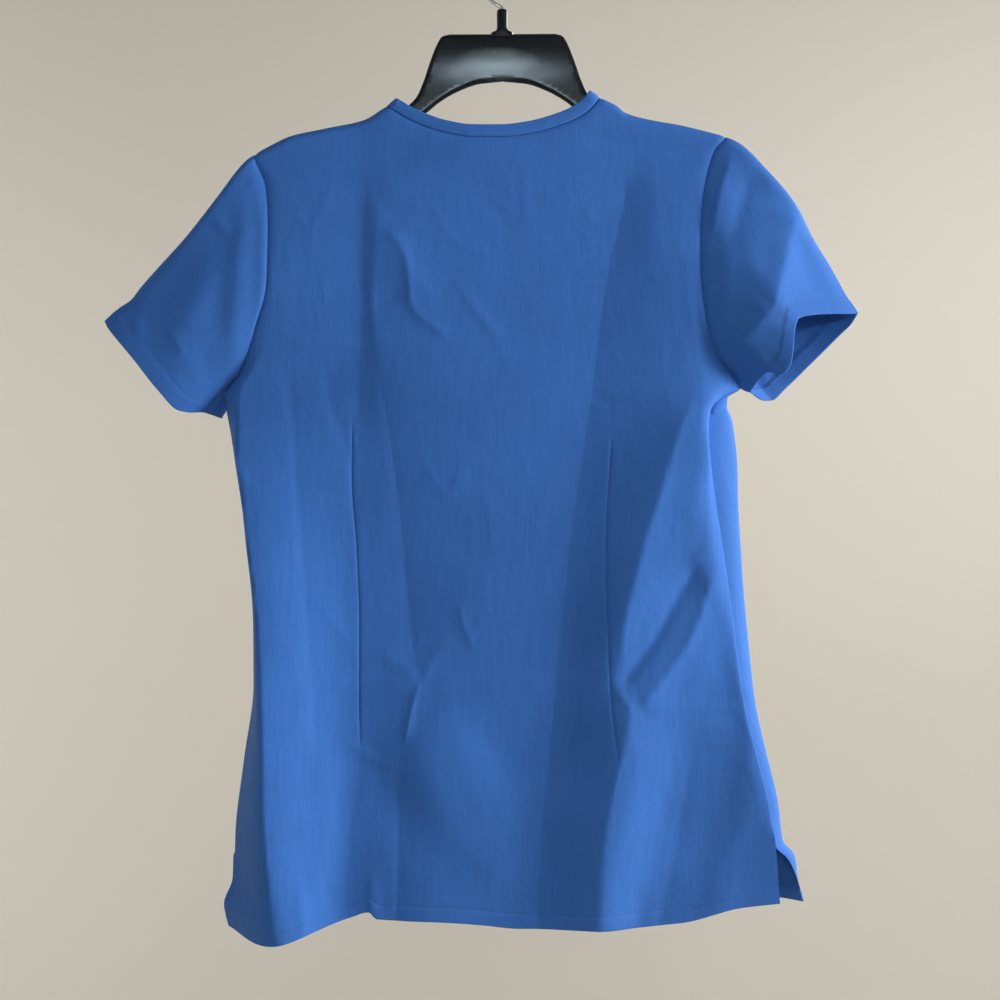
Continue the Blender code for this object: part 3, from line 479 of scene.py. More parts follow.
@dataclass(frozen=True)
class Crease:
    """A crease in the cloth, from where it starts to where it dies out.

    Its sides are those of someone who sees it run down the cloth; where it runs to the right, its left side
    is below it. A height above 0 stands out of the cloth.
    """

    name: str
    kind: Fold
    path: tuple[tuple[float, float], ...]
    left: float
    right: float
    height: float
    fade: float = 26.0
    rounding: float = 0.6

    def rise(self, x: np.ndarray, z: np.ndarray) -> np.ndarray:
        """Gives the height of the crease.

        Args:
            x: places.
            z: places.

        Returns:
            The height at each place.
        """
        route = np.array(self.path)
        if len(route) > 2:
            route = along(self.path, np.linspace(0, 1, CREASE_STEPS * len(route)))
        room = CREASE_ROOM * max(self.left, self.right)
        low, high = route.min(axis=0) - room, route.max(axis=0) + room
        near = (x > low[0]) & (x < high[0]) & (z > low[1]) & (z < high[1])
        total = np.zeros_like(x)
        if not near.any():
            return total
        px, pz = x[near], z[near]
        best, aside, run = np.full_like(px, np.inf), np.zeros_like(px), np.zeros_like(px)
        start = 0.0
        for (ax, az), (bx, bz) in zip(route, route[1:]):
            dx, dz = bx - ax, bz - az
            length = math.hypot(dx, dz)
            share = np.clip(((px - ax) * dx + (pz - az) * dz) / length ** 2, 0, 1)
            gap_x, gap_z = px - ax - share * dx, pz - az - share * dz
            far = np.hypot(gap_x, gap_z)
            nearer = far < best
            best = np.where(nearer, far, best)
            aside = np.where(nearer, np.sign(dx * gap_z - dz * gap_x) * far, aside)
            run = np.where(nearer, start + share * length, run)
            start += length
        reach = min(self.fade, CREASE_ENDS * start)
        ends = smooth(np.minimum(run, start - run) / reach)
        width = np.where(aside < 0, self.left, self.right)
        if self.kind is Fold.CREST:
            profile = np.exp(-(aside / width) ** 2)
        else:
            profile = np.exp((self.rounding - np.sqrt(aside ** 2 + self.rounding ** 2)) / width)
        total[near] = self.height * ends * profile
        return total


def creased(creases: tuple[Crease, ...], x: np.ndarray, z: np.ndarray) -> np.ndarray:
    """Adds up the heights of several creases."""
    return sum((crease.rise(x, z) for crease in creases), np.zeros_like(x))


def crease_table(*rows: tuple) -> tuple[Crease, ...]:
    """Makes creases from rows of their name, kind, path, widths, height and any fade and rounding."""
    return tuple(Crease(*row) for row in rows)


CREST, HOLLOW, PINCH = Fold

# Creases of each piece. The path's columns are x and z, and the widths are those of its left and right side.
BACK_CREASES = crease_table(
    ("yoke crinkle", PINCH, ((-95, -236), (-84, -244), (-77, -255), (-74, -272), (-72, -293), (-68, -301),
     (-57, -310), (-45, -318), (-40, -320)), 2.0, 3.5, 1.2, 10.0, 0.4),
    ("shoulder drag", HOLLOW, ((52, -158), (110, -166), (166, -173)), 7, 9, -1.4, 26.0, 3.0),
    ("yoke crease", HOLLOW, ((-103, -196), (-92, -217), (-75, -233)), 5, 5, -0.5, 12.0),
    ("yoke hollow", HOLLOW, ((-104, -185), (-108, -205), (-110, -250), (-110, -294)), 9, 14, -0.9),
    ("yoke step", PINCH, ((-110, -292), (-100, -296), (-87, -291), (-78, -282)), 2.5, 5, -1.0),
    ("waist hollow", HOLLOW, ((-109, -292), (-103, -327), (-89, -394), (-78, -480), (-71, -557), (-65, -587)),
     14, 12, -1.0),
    ("yoke V, left arm", HOLLOW, ((-24, -204), (-4, -222), (9, -239)), 4, 4, -0.45, 12.0),
    ("yoke V, right arm", PINCH, ((17, -185), (21, -242)), 3, 4, 0.4, 14.0),
    ("yoke bias", PINCH, ((-59, -210), (-35, -247), (-5, -257)), 2.5, 4, 0.4, 12.0),
    ("long bias", PINCH, ((-42, -269), (-17, -304), (3, -325)), 3, 4, 0.5, 14.0),
    ("lower bias", PINCH, ((-35, -277), (-8, -318), (7, -349)), 3, 4, 0.3, 16.0),
    ("curl by the long valley", PINCH, ((62, -221), (74, -229)), 2.5, 3, 0.6, 8.0),
    ("second curl", PINCH, ((63, -236), (68, -243), (72, -254)), 2.5, 3, 0.6, 8.0),
    ("upper left tick", PINCH, ((-168, -221), (-150, -237)), 2, 3, 0.5, 10.0),
    ("middle left tick", PINCH, ((-130, -196), (-144, -219), (-155, -250)), 3, 3, 0.35, 14.0),
    ("lower left tick", PINCH, ((-144, -268), (-138, -296)), 2, 3, 0.4, 10.0),
    ("chest line", PINCH, ((-171, -327), (-137, -325), (-102, -327)), 2, 2.5, 0.55, 14.0),
    ("left blade fold", HOLLOW, ((-171, -336), (-162, -417), (-156, -489), (-149, -579), (-144, -647)), 4, 9,
     -0.6),
    ("left waist fold", HOLLOW, ((-144, -331), (-132, -381), (-120, -417), (-116, -471)), 4, 8, -0.6),
    ("bust line, left", HOLLOW, ((-43, -362), (23, -364), (53, -358), (69, -362)), 2, 2.5, -0.4, 16.0),
    ("bust line, right", HOLLOW, ((69, -363), (74, -368), (90, -375)), 2, 2.5, -0.6, 8.0),
    ("second line, left", HOLLOW, ((30, -413), (64, -405)), 2, 2.5, -0.35, 10.0),
    ("second line, right", HOLLOW, ((64, -405), (67, -408), (84, -415)), 2, 2.5, -0.55, 8.0),
    ("long valley", HOLLOW, ((102, -185), (93, -228), (82, -277), (73, -345), (64, -408), (55, -466),
     (48, -525), (43, -579), (37, -647), (30, -714), (27, -800)), 30, 13, -1.3),
    ("right ridge edge", PINCH, ((155, -350), (150, -368), (137, -398), (129, -424), (122, -447), (111, -480),
     (103, -513), (95, -544), (90, -600)), 24, 14, 3.4, 50.0, 0.8),
    ("left corner ridge", PINCH, ((-188, -534), (-186, -571), (-184, -650), (-184, -682), (-179, -753),
     (-172, -800)), 6, 12, 2.6, 90.0),
    ("trough, left edge", HOLLOW, ((155, -497), (138, -524), (119, -558), (104, -578), (90, -598)), 8, 7,
     -2.6, 14.0, 0.5),
    ("trough, right edge", PINCH, ((165, -503), (160, -524), (146, -558), (127, -586), (106, -612)), 7, 8,
     2.4, 14.0, 0.5),
    ("side curl", PINCH, ((148, -497), (157, -490), (165, -484)), 2, 3, 0.8, 8.0),
    ("side tuck", HOLLOW, ((157, -522), (162, -531), (167, -535)), 2, 3, -0.7, 8.0),
    ("short cross crease", PINCH, ((87, -596), (103, -615)), 2.5, 4, 1.2, 8.0),
    ("skirt ridge", PINCH, ((103, -600), (97, -630), (88, -667), (79, -722), (76, -772), (74, -800)), 18, 13,
     2.6, 26.0, 1.0),
    ("skirt valley", HOLLOW, ((154, -620), (145, -669), (132, -737), (118, -800)), 14, 16, -1.2),
    ("skirt right ridge", CREST, ((194, -633), (192, -683), (176, -732), (165, -795)), 14, 14, 1.0),
    ("press line, left", PINCH, ((-194, -593), (-134, -592), (-71, -591)), 2, 2.5, 0.45, 14.0),
    ("press line, middle", PINCH, ((-58, -589), (-8, -589), (42, -588)), 2, 2.5, 0.4, 14.0),
    ("press line, dart", PINCH, ((42, -588), (84, -597)), 2, 2.5, 0.4, 10.0),
    ("press line, right", PINCH, ((107, -613), (149, -611), (192, -611)), 2, 2.5, 0.6, 10.0),
    ("star arm, up left", PINCH, ((-98, -569), (-80, -579), (-64, -590)), 2.2, 3.5, 0.9, 10.0),
    ("star arm, left", PINCH, ((-96, -593), (-64, -591)), 2.2, 3, 0.5, 10.0),
    ("star arm, down", PINCH, ((-64, -590), (-71, -613), (-76, -640)), 2.5, 4, 1.1, 10.0),
    ("star arm, up right", PINCH, ((-64, -590), (-51, -570), (-34, -559)), 2.5, 4, 0.8, 10.0),
    ("seat curl", PINCH, ((-33, -527), (-31, -545), (-20, -566)), 2.5, 4, 0.7, 10.0),
    ("blade curl", PINCH, ((-62, -417), (-53, -435), (-42, -444), (-29, -421)), 2.5, 3, 0.4, 10.0),
    ("faint fall", PINCH, ((-14, -439), (-7, -489)), 3, 4, 0.3, 14.0),
    ("dart foot crease", PINCH, ((-125, -637), (-103, -650), (-80, -661)), 2.5, 4, 0.9, 10.0),
    ("crease by the left dart", PINCH, ((-141, -533), (-119, -560)), 2.5, 3, 0.6, 8.0),
    ("crease under it", PINCH, ((-121, -576), (-132, -598)), 2.5, 3, 0.5, 8.0),
    ("seat diagonal", CREST, ((-71, -620), (-53, -665), (-26, -710), (14, -755)), 18, 26, 1.6),
    ("seat valley", HOLLOW, ((-84, -657), (-81, -710), (-83, -800)), 8, 14, -0.9),
    ("lower left fall", CREST, ((-137, -642), (-139, -714), (-144, -759)), 10, 10, 1.0),
    ("hem fold, left", CREST, ((-156, -737), (-153, -800)), 4, 5, 1.0),
    ("hem fold, centre", CREST, ((-102, -732), (-100, -800)), 4, 5, 0.8),
    ("side tick", CREST, ((-210, -427), (-195, -436)), 3, 3, 0.8),
    ("hip seam tick", CREST, ((167, -381), (170, -417), (165, -471)), 6, 8, 1.0),
)

FRONT_CREASES = crease_table(
    ("left fall", HOLLOW, ((-130, -330), (-118, -450), (-112, -590), (-118, -800)), 12, 20, -2.0),
    ("right fall", HOLLOW, ((118, -340), (104, -470), (98, -610), (108, -800)), 20, 12, -2.2),
    ("centre fall", PINCH, ((-8, -360), (0, -500), (6, -650), (2, -800)), 26, 16, 2.2, 60.0, 3.0),
    ("bust line", PINCH, ((-120, -366), (0, -372), (120, -365)), 2, 2.5, 0.6, 14.0),
    ("press line", PINCH, ((-190, -593), (0, -596), (190, -600)), 2, 2.5, 0.6, 14.0),
    ("shoulder drag, left", PINCH, ((-150, -190), (-110, -260), (-60, -320)), 5, 8, 1.2, 20.0),
    ("shoulder drag, right", PINCH, ((140, -185), (100, -250), (56, -316)), 8, 5, 1.2, 20.0),
    ("tick under the V", PINCH, ((-14, -262), (-30, -300), (-37, -330)), 2.5, 4, 0.7, 10.0),
    ("second tick", PINCH, ((22, -268), (30, -292), (48, -312)), 2.5, 4, 0.6, 10.0),
    ("waist curl", PINCH, ((30, -470), (16, -492), (22, -517), (38, -529)), 2.5, 4, 0.7, 10.0),
    ("hip drag, left", PINCH, ((-180, -520), (-130, -560), (-96, -590)), 4, 6, 1.3, 14.0),
    ("hip drag, right", PINCH, ((170, -500), (126, -548), (92, -600)), 6, 4, 1.3, 14.0),
    ("skirt crest, left", PINCH, ((-70, -620), (-62, -700), (-60, -800)), 14, 14, 2.0, 30.0, 2.0),
    ("skirt crest, right", PINCH, ((62, -620), (58, -700), (60, -800)), 14, 14, 2.0, 30.0, 2.0),
)

LEFT_SLEEVE_CREASES = crease_table(
    ("cap drag", CREST, ((-234, -221), (-211, -242)), 4, 6, 1.0),
    ("fold to the cuff", CREST, ((-291, -295), (-287, -325)), 4, 6, 1.0),
    ("middle crease", PINCH, ((-262, -311), (-250, -339)), 3, 5, 0.8, 10.0),
    ("low hollow", HOLLOW, ((-240, -326), (-226, -362)), 10, 10, -0.9, 14.0, 3.0),
)
RIGHT_SLEEVE_CREASES = crease_table(
    ("cap pleat", PINCH, ((183, -172), (171, -212), (164, -246)), 4, 9, 1.5, 16.0, 1.0),
    ("cap valley", HOLLOW, ((201, -184), (186, -224), (174, -261)), 10, 10, -1.5, 20.0, 3.0),
    ("facet edge", PINCH, ((234, -214), (224, -254), (212, -296), (209, -310)), 26, 17, 4.2, 16.0, 0.6),
    ("armpit crease", PINCH, ((213, -297), (196, -316), (179, -334)), 12, 12, 2.4, 12.0),
    ("cuff dimple", HOLLOW, ((206, -330), (214, -345), (219, -356)), 5, 6, -0.9, 10.0, 1.0),
    ("armpit fold", CREST, ((171, -341), (162, -379)), 5, 6, 2.0),
)


# Meshes.

def add_object(name: str, mesh: bpy.types.Mesh, material: bpy.types.Material) -> bpy.types.Object:
    """Gives a mesh its finish and links it to the scene as an object.

    Args:
        name: the piece's name.
        mesh: its mesh, in metres.
        material: its finish.

    Returns:
        The object.
    """
    mesh.materials.append(material)
    made = bpy.data.objects.new(name, mesh)
    bpy.context.scene.collection.objects.link(made)
    return made


def finish_object(name: str, bm: bmesh.types.BMesh, material: bpy.types.Material, angle: float = 55.0
                  ) -> bpy.types.Object:
    """Writes a mesh in millimetres as an object in metres.

    Args:
        name: the piece's name.
        bm: the mesh, which is freed.
        material: its finish.
        angle: edges sharper than this stay sharp, in degrees.

    Returns:
        The object, linked to the scene.
    """
    bmesh.ops.scale(bm, vec=(MM, MM, MM), verts=bm.verts)
    mesh = bpy.data.meshes.new(name)
    bm.to_mesh(mesh)
    bm.free()
    mesh.shade_smooth()
    mesh.set_sharp_from_angle(angle=math.radians(angle))
    return add_object(name, mesh, material)


def turn_profile(profile: Table, sides: int) -> bmesh.types.BMesh:
    """Turns a profile round the z axis.

    Args:
        profile: rows of radius and height, from the axis out or back to it.
        sides: how many sides the round has.

    Returns:
        The turned mesh.
    """
    bm = bmesh.new()
    verts = [bm.verts.new((radius, 0, z)) for radius, z in profile]
    edges = [bm.edges.new(pair) for pair in zip(verts, verts[1:])]
    bmesh.ops.spin(bm, geom=verts + edges, cent=(0, 0, 0), axis=(0, 0, 1), angle=2 * math.pi, steps=sides,
                   use_merge=True)
    bmesh.ops.remove_doubles(bm, verts=bm.verts, dist=WELD)
    return bm


@dataclass
class Wall:
    """A thin wall of cloth behind a grid of outer points.

    thickness and weave have an entry for each point; weave is the place on the laid-out cloth. A rounded
    edge takes most_rounded of half the thickness off each side, at the most.
    """

    name: str
    outer: np.ndarray
    normals: np.ndarray
    weave: np.ndarray
    thickness: np.ndarray
    ring: bool = False
    most_rounded: float = 0.7

    def inner(self) -> np.ndarray:
        """Gives the points of the wall's inner side."""
        return self.outer - self.normals * self.thickness[..., None]

    def sink(self, depth: np.ndarray) -> None:
        """Moves the outer points in along their normals by a depth."""
        self.outer = self.outer - self.normals * depth[..., None]

    def round_off(self, distance: np.ndarray) -> None:
        """Rounds a free edge.

        Args:
            distance: how far each point is from that edge.
        """
        half = self.thickness / 2
        inside = np.clip(half - distance, 0, half)
        back = np.minimum(half - np.sqrt(np.maximum(half ** 2 - inside ** 2, 0)), self.most_rounded * half)
        self.sink(back)
        self.thickness = self.thickness - 2 * back

    def line(self, distance: np.ndarray, value: float, inside: bool = False) -> Line:
        """Finds where a distance that falls down each column has a value.

        Args:
            distance: the distance at each point.
            value: the value to find.
            inside: whether the line runs on the wall's inner side.

        Returns:
            A point and a normal for each column.
        """
        face, away = (self.inner(), -self.normals) if inside else (self.outer, self.normals)
        points, directions = [], []
        rows = np.arange(len(distance))
        for k in range(distance.shape[1]):
            place = np.interp(-value, -distance[:, k], rows)
            low = min(int(place), len(rows) - 2)
            share = place - low
            points.append(face[low, k] * (1 - share) + face[low + 1, k] * share)
            directions.append(away[low, k] * (1 - share) + away[low + 1, k] * share)
        return np.array(points), unit(np.array(directions))

    def build(self, material: bpy.types.Material) -> bpy.types.Object:
        """Makes the closed wall from a grid, extruded to its inner points.

        Args:
            material: the cloth's finish.

        Returns:
            The piece.
        """
        rows, columns = self.outer.shape[:2]
        inner = self.inner()
        wide = columns + 1 if self.ring else columns
        bm = bmesh.new()
        bmesh.ops.create_grid(bm, x_segments=wide - 1, y_segments=rows - 1, size=1.0)
        place = bm.verts.layers.int.new("place")
        bm.verts.ensure_lookup_table()
        for vert in bm.verts:
            across = round((vert.co.x + 1) / 2 * (wide - 1))
            down = round((1 - vert.co.y) / 2 * (rows - 1))
            vert[place] = down * columns + across % columns
            vert.co = self.outer[down, across % columns]
        loops = bm.loops.layers.uv.new(WEAVE_MAP)
        flat = self.weave * MM
        lap = flat[:, -1, 0] + (flat[:, 1, 0] - flat[:, 0, 0]) if self.ring else None
        for face in bm.faces:
            last = self.ring and any(loop.vert[place] % columns == columns - 1 for loop in face.loops)
            for loop in face.loops:
                down, across = divmod(loop.vert[place], columns)
                u, v = flat[down, across]
                loop[loops].uv = (lap[down] if last and across == 0 else u, v)
        if self.ring:
            bmesh.ops.remove_doubles(bm, verts=bm.verts, dist=RING_WELD)
        made = bmesh.ops.extrude_face_region(bm, geom=bm.faces[:], use_keep_orig=True)["geom"]
        for vert in made:
            if isinstance(vert, bmesh.types.BMVert):
                vert.co = inner[divmod(vert[place], columns)]
        bmesh.ops.recalc_face_normals(bm, faces=bm.faces)
        return finish_object(self.name, bm, material)


@dataclass(kw_only=True)
class CutPiece:
    """What every cut piece of the top has: its seams are sunk, and its hem is turned and stitched."""

    name: str
    creases: tuple[Crease, ...]
    wall: float = 0.6
    hem_wall: float = 1.3
    hem_line: float = 10.5
    hem_past_line: float = 1.2
    hem_step: float = 2.0
    hem_lift: float = 0.30
    stitch_sink: float = 0.35
    stitch_reach: float = 0.9
    seam_sink: float = 1.3
    seam_reach: float = 1.5

    def sewn(self, hung: Line, weave: np.ndarray, foot: np.ndarray, seam: np.ndarray,
             tucks: np.ndarray | float = 0.0, ring: bool = False) -> Wall:
        """Makes the wall with its seams sunk, its hem turned and its free edge rounded.

        Args:
            hung: the hung points, and the direction of the wall at each.
            weave: the place of each on the laid-out cloth.
            foot: its distance from the free edge.
            seam: its distance from the nearest seam.
            tucks: how much deeper it lies in a dart.
            ring: True where the last column meets the first.

        Returns:
            The wall.
        """
        turned = smooth((self.hem_line + self.hem_past_line - foot) / self.hem_step)
        wall = Wall(self.name, *hung, weave, self.wall + (self.hem_wall - self.wall) * turned, ring)
        groove = self.stitch_sink * np.exp(-((foot - self.hem_line) / self.stitch_reach) ** 2)
        groove -= self.hem_lift * turned
        wall.sink(self.seam_sink * np.exp(-seam / self.seam_reach) + groove + tucks)
        wall.round_off(foot)
        return wall


@dataclass(kw_only=True)
class Panel(CutPiece):
    """The back or the front of the top, laid out flat and then hung."""

    hem: Table
    arc: float
    facing: Facing
    columns: np.ndarray
    levels: np.ndarray
    side_calm: float = 9.0
    shoulder_calm: float = 30.0

    def neck_cut(self, x: np.ndarray) -> np.ndarray:
        """Gives how far the neck is cut down along the shoulders; each panel has its own."""
        raise NotImplementedError

    def neck_dip(self) -> np.ndarray:
        """Gives how much of the neck's cut each level follows; each panel has its own."""
        raise NotImplementedError

    def depth(self, x: np.ndarray, z: np.ndarray) -> np.ndarray:
        """Gives the depth of the hung cloth at each place; each panel has its own."""
        raise NotImplementedError

    def edge_place(self, side: Side, height: np.ndarray) -> np.ndarray:
        """Gives the x of a side edge at each height."""
        return column(EDGES[side], 0, 1, height)

    def tucks(self, flat: np.ndarray) -> np.ndarray | float:
        """Gives how much deeper the cloth lies in its darts; a panel without darts has none."""
        return 0.0

    def side_edge(self, side: Side, corner: np.ndarray, foot: np.ndarray) -> np.ndarray:
        """Lays one side edge out flat, from the shoulder to the hem.

        Args:
            side: which edge.
            corner: where the shoulder ends.
            foot: where the hem ends.

        Returns:
            The edge's points.
        """
        table = EDGES[side]
        height = np.interp(self.levels, (0.0, ARMPIT, 1.0), (table[0][0], ARMPITS[side], table[-1][0]))
        x = self.edge_place(side, height)
        height = height + (corner[1] - height[0]) * (1 - np.clip(self.levels / ARMPIT, 0, 1))
        tail = np.clip((self.levels - VENT_TOP) / (1 - VENT_TOP), 0, 1)
        return np.stack([x + (foot[0] - x[-1]) * tail, height + (foot[1] - height[-1]) * tail], axis=-1)

    def lay_out(self) -> np.ndarray:
        """Lays the panel out flat.

        Returns:
            The x and height of every point, with the shoulder still unrolled.
        """
        u = self.columns
        top_x = SHOULDER_START + u * SHOULDER_WIDTH
        drop = np.where((u > NECK_LEFT) & (u < NECK_RIGHT), self.neck_cut(top_x), 0.0)
        top = np.stack([top_x, column(SHOULDER_CREST, 0, 1, top_x) + self.arc - ROLL], axis=-1)
        bottom = np.stack([column(self.hem, 0, 1, u), column(self.hem, 0, 2, u)], axis=-1)
        sides = [self.side_edge(side, top[side.value], bottom[side.value]) for side in Side]
        flat = coons(top, bottom, *sides, u, self.levels)
        flat[..., 1] -= self.neck_dip()[:, None] * drop[None]
        return flat

    def roll_over(self, flat: np.ndarray, depth: np.ndarray) -> np.ndarray:
        """Hangs the flat cloth over the hanger's arm.

        Args:
            flat: x and height of each point.
            depth: how far each point stands off below the arm.

        Returns:
            The points in space.
        """
        x, height = flat[..., 0], flat[..., 1]
        top = column(SHOULDER_CREST, 0, 1, x)
        drop = np.maximum(top + self.arc - ROLL - height, 0)
        start = self.facing.value * SEAM_ANGLE
        angle = np.clip(drop / ROLL + start, start, math.pi / 2)
        fall = ROLL * (1 - np.cos(angle)) + np.maximum(drop - self.arc, 0)
        keep = np.exp(-np.maximum(drop - self.arc, 0) / ROLL_FADE)
        rolled = self.facing.value * ROLL * np.sin(angle)
        y = np.where(drop < self.arc, rolled, rolled * keep + depth * (1 - keep))
        return np.stack([x, y, top - fall], axis=-1)

    def points(self) -> tuple[np.ndarray, np.ndarray]:
        """Lays the panel out and hangs it.

        Returns:
            The flat points and the hung ones.
        """
        flat = self.lay_out()
        x, z = flat[..., 0], flat[..., 1]
        free = smooth(from_sides(x) / self.side_calm) * smooth((z[:1] - z) / self.shoulder_calm)
        depth = self.depth(x, z) + self.facing.value * creased(self.creases, x, z) * free
        return flat, self.roll_over(flat, depth)

    def hang(self, flat: np.ndarray, hung: Line) -> tuple[Wall, np.ndarray]:
        """Makes the panel's wall.

        Args:
            flat: x and height of each point.
            hung: the hung points, and the direction of the wall at each.

        Returns:
            The wall, and each point's distance from the foot.
        """
        heights = flat[..., 1]
        sewn_rows = self.levels[:, None] <= VENT_TOP + 1e-6
        seam = np.minimum(np.where(sewn_rows, from_sides(flat[..., 0]), np.inf), heights[:1] - heights)
        foot = heights - heights[-1:]
        return self.sewn(hung, flat.copy(), foot, seam, self.tucks(flat)), foot


@dataclass(kw_only=True)
class BackPanel(Panel):
    """The back, with its two waist darts."""

    name: str = "back_panel_cloth"
    creases: tuple[Crease, ...] = BACK_CREASES
    hem: Table = BACK_HEM
    arc: float = BACK_ARC
    facing: Facing = Facing.BACK

    def neck_cut(self, x: np.ndarray) -> np.ndarray:
        """Gives how far the neck is cut down along the shoulders."""
        return column(BACK_NECK, 0, 1, x)

    def neck_dip(self) -> np.ndarray:
        """Gives how much of the neck's cut each level follows: it is gone a little way down."""
        return np.clip(1 - self.levels / NECK_FADE, 0, 1) ** 2

    def lay_out(self) -> np.ndarray:
        """Lays the back out flat, its columns drawn onto the darts and the sharpest folds.

        Returns:
            The x and height of every point.
        """
        flat = super().lay_out()
        x, z = flat[..., 0], flat[..., 1]
        places = [x[:, :1], *(column(line, 0, 1, z) for line in DRAWN_LINES.values()), x[:, -1:]]
        columns = np.broadcast_to(self.columns, x.shape)
        wanted = monotone(columns, layered([0.0, *DRAWN_LINES, 1.0], x), layered(places, x))
        drawn = x + (wanted - x) * smooth(self.levels[:, None] / DRAW_REACH)
        foot = [column(BACK_HEM, 1, 2, place) for place in (drawn, x)]
        return np.stack([drawn, z + (foot[0] - foot[1]) * self.levels[:, None] ** 3], axis=-1)

    def line_places(self, x: np.ndarray, z: np.ndarray) -> np.ndarray:
        """Finds where the crests and hollows cross each row, from one side seam to the other.

        Args:
            x: places.
            z: places.

        Returns:
            The x of the seams and the lines at each place.
        """
        places = layered([x[:, :1], *(column(rows, 0, 1, z) for rows in BACK_LINES.values()), x[:, -1:]], x)
        steps = LINE_ROOM * np.arange(len(places))[:, None, None]
        places[1:-1] = np.clip(places[1:-1], places[0] + steps[1:-1], places[-1] - (steps[-1] - steps[1:-1]))
        return np.maximum.accumulate(places - steps * LINE_SHARE, axis=0) + steps * LINE_SHARE

    def depth(self, x: np.ndarray, z: np.ndarray) -> np.ndarray:
        """Gives the depth of the back, from its crests, hollows and broad folds.

        Args:
            x: places.
            z: places.

        Returns:
            The depth at each place.
        """
        depths = np.stack([column(rows, 0, 2, z) for rows in (LEFT_EDGE, *BACK_LINES.values(), RIGHT_EDGE)])
        seam_fade = np.clip(from_sides(x) / FOLD_FADE, 0, 1)
        return monotone(x, self.line_places(x, z), depths) - fold_height(BACK_FOLDS, x, z) * seam_fade

    def tucks(self, flat: np.ndarray) -> np.ndarray:
        """Gives how much deeper the cloth lies in its two darts.

        Args:
            flat: x and height of each point.

        Returns:
            The depth at each point.
        """
        x, z = flat[..., 0], flat[..., 1]
        total = np.zeros_like(x)
        for dart in (LEFT_DART, RIGHT_DART):
            ends = smooth((dart[0][0] - z) / DART_ENDS) * smooth((z - dart[-1][0]) / DART_ENDS)
            total += DART_DEPTH * ends * np.exp(-np.abs(x - column(dart, 0, 1, z)) / DART_WIDTH)
        return total


@dataclass(kw_only=True)
class FrontPanel(Panel):
    """The front, with its V neck and the right vent swung out."""

    name: str = "front_panel_cloth"
    creases: tuple[Crease, ...] = FRONT_CREASES
    hem: Table = FRONT_HEM
    arc: float = FRONT_ARC
    facing: Facing = Facing.FRONT

    def neck_cut(self, x: np.ndarray) -> np.ndarray:
        """Gives how far the V is cut down along the shoulders."""
        return np.interp(x, *zip(*FRONT_NECK))

    def neck_dip(self) -> np.ndarray:
        """Gives how much of the V's cut each level follows."""
        return 1 - self.levels

    def edge_place(self, side: Side, height: np.ndarray) -> np.ndarray:
        """Gives the x of a side edge at each height; the right one swings out at the vent.

        Args:
            side: which edge.
            height: heights.

        Returns:
            The x at each height.
        """
        x = super().edge_place(side, height)
        if side is Side.LEFT:
            return x
        return np.where(height < FRONT_VENT_EDGE[0][0], column(FRONT_VENT_EDGE, 0, 1, height), x)

    def depth(self, x: np.ndarray, z: np.ndarray) -> np.ndarray:
        """Gives the depth of the front, from its table of levels.

        Args:
            x: places.
            z: places.

        Returns:
            The depth at each place.
        """
        vent, seam = column(FRONT_VENT_EDGE, 0, 2, z), column(RIGHT_EDGE, 0, 3, z)
        middle = [column(FRONT_DEPTHS, 0, 1 + k, z) for k in range(len(FRONT_SHARES))]
        depths = [column(LEFT_EDGE, 0, 3, z), *middle, np.where(z < FRONT_VENT_EDGE[0][0], vent, seam)]
        columns = np.broadcast_to(self.columns, x.shape)
        return monotone(columns, layered([0.0, *FRONT_SHARES, 1.0], x), np.stack(depths))

    def points(self) -> tuple[np.ndarray, np.ndarray]:
        """Lays the front out and hangs it, swung out past the side seams.

        Returns:
            The flat points and the hung ones.
        """
        flat, outer = super().points()
        u, z = self.columns[None], flat[..., 1]
        swing = [share / BULGE_REACH * np.exp(1 - share / BULGE_REACH) for share in (u, 1 - u)]
        outer[..., 0] += swing[1] * column(FRONT_BULGE, 0, 2, z) - swing[0] * column(FRONT_BULGE, 0, 1, z)
        return flat, outer


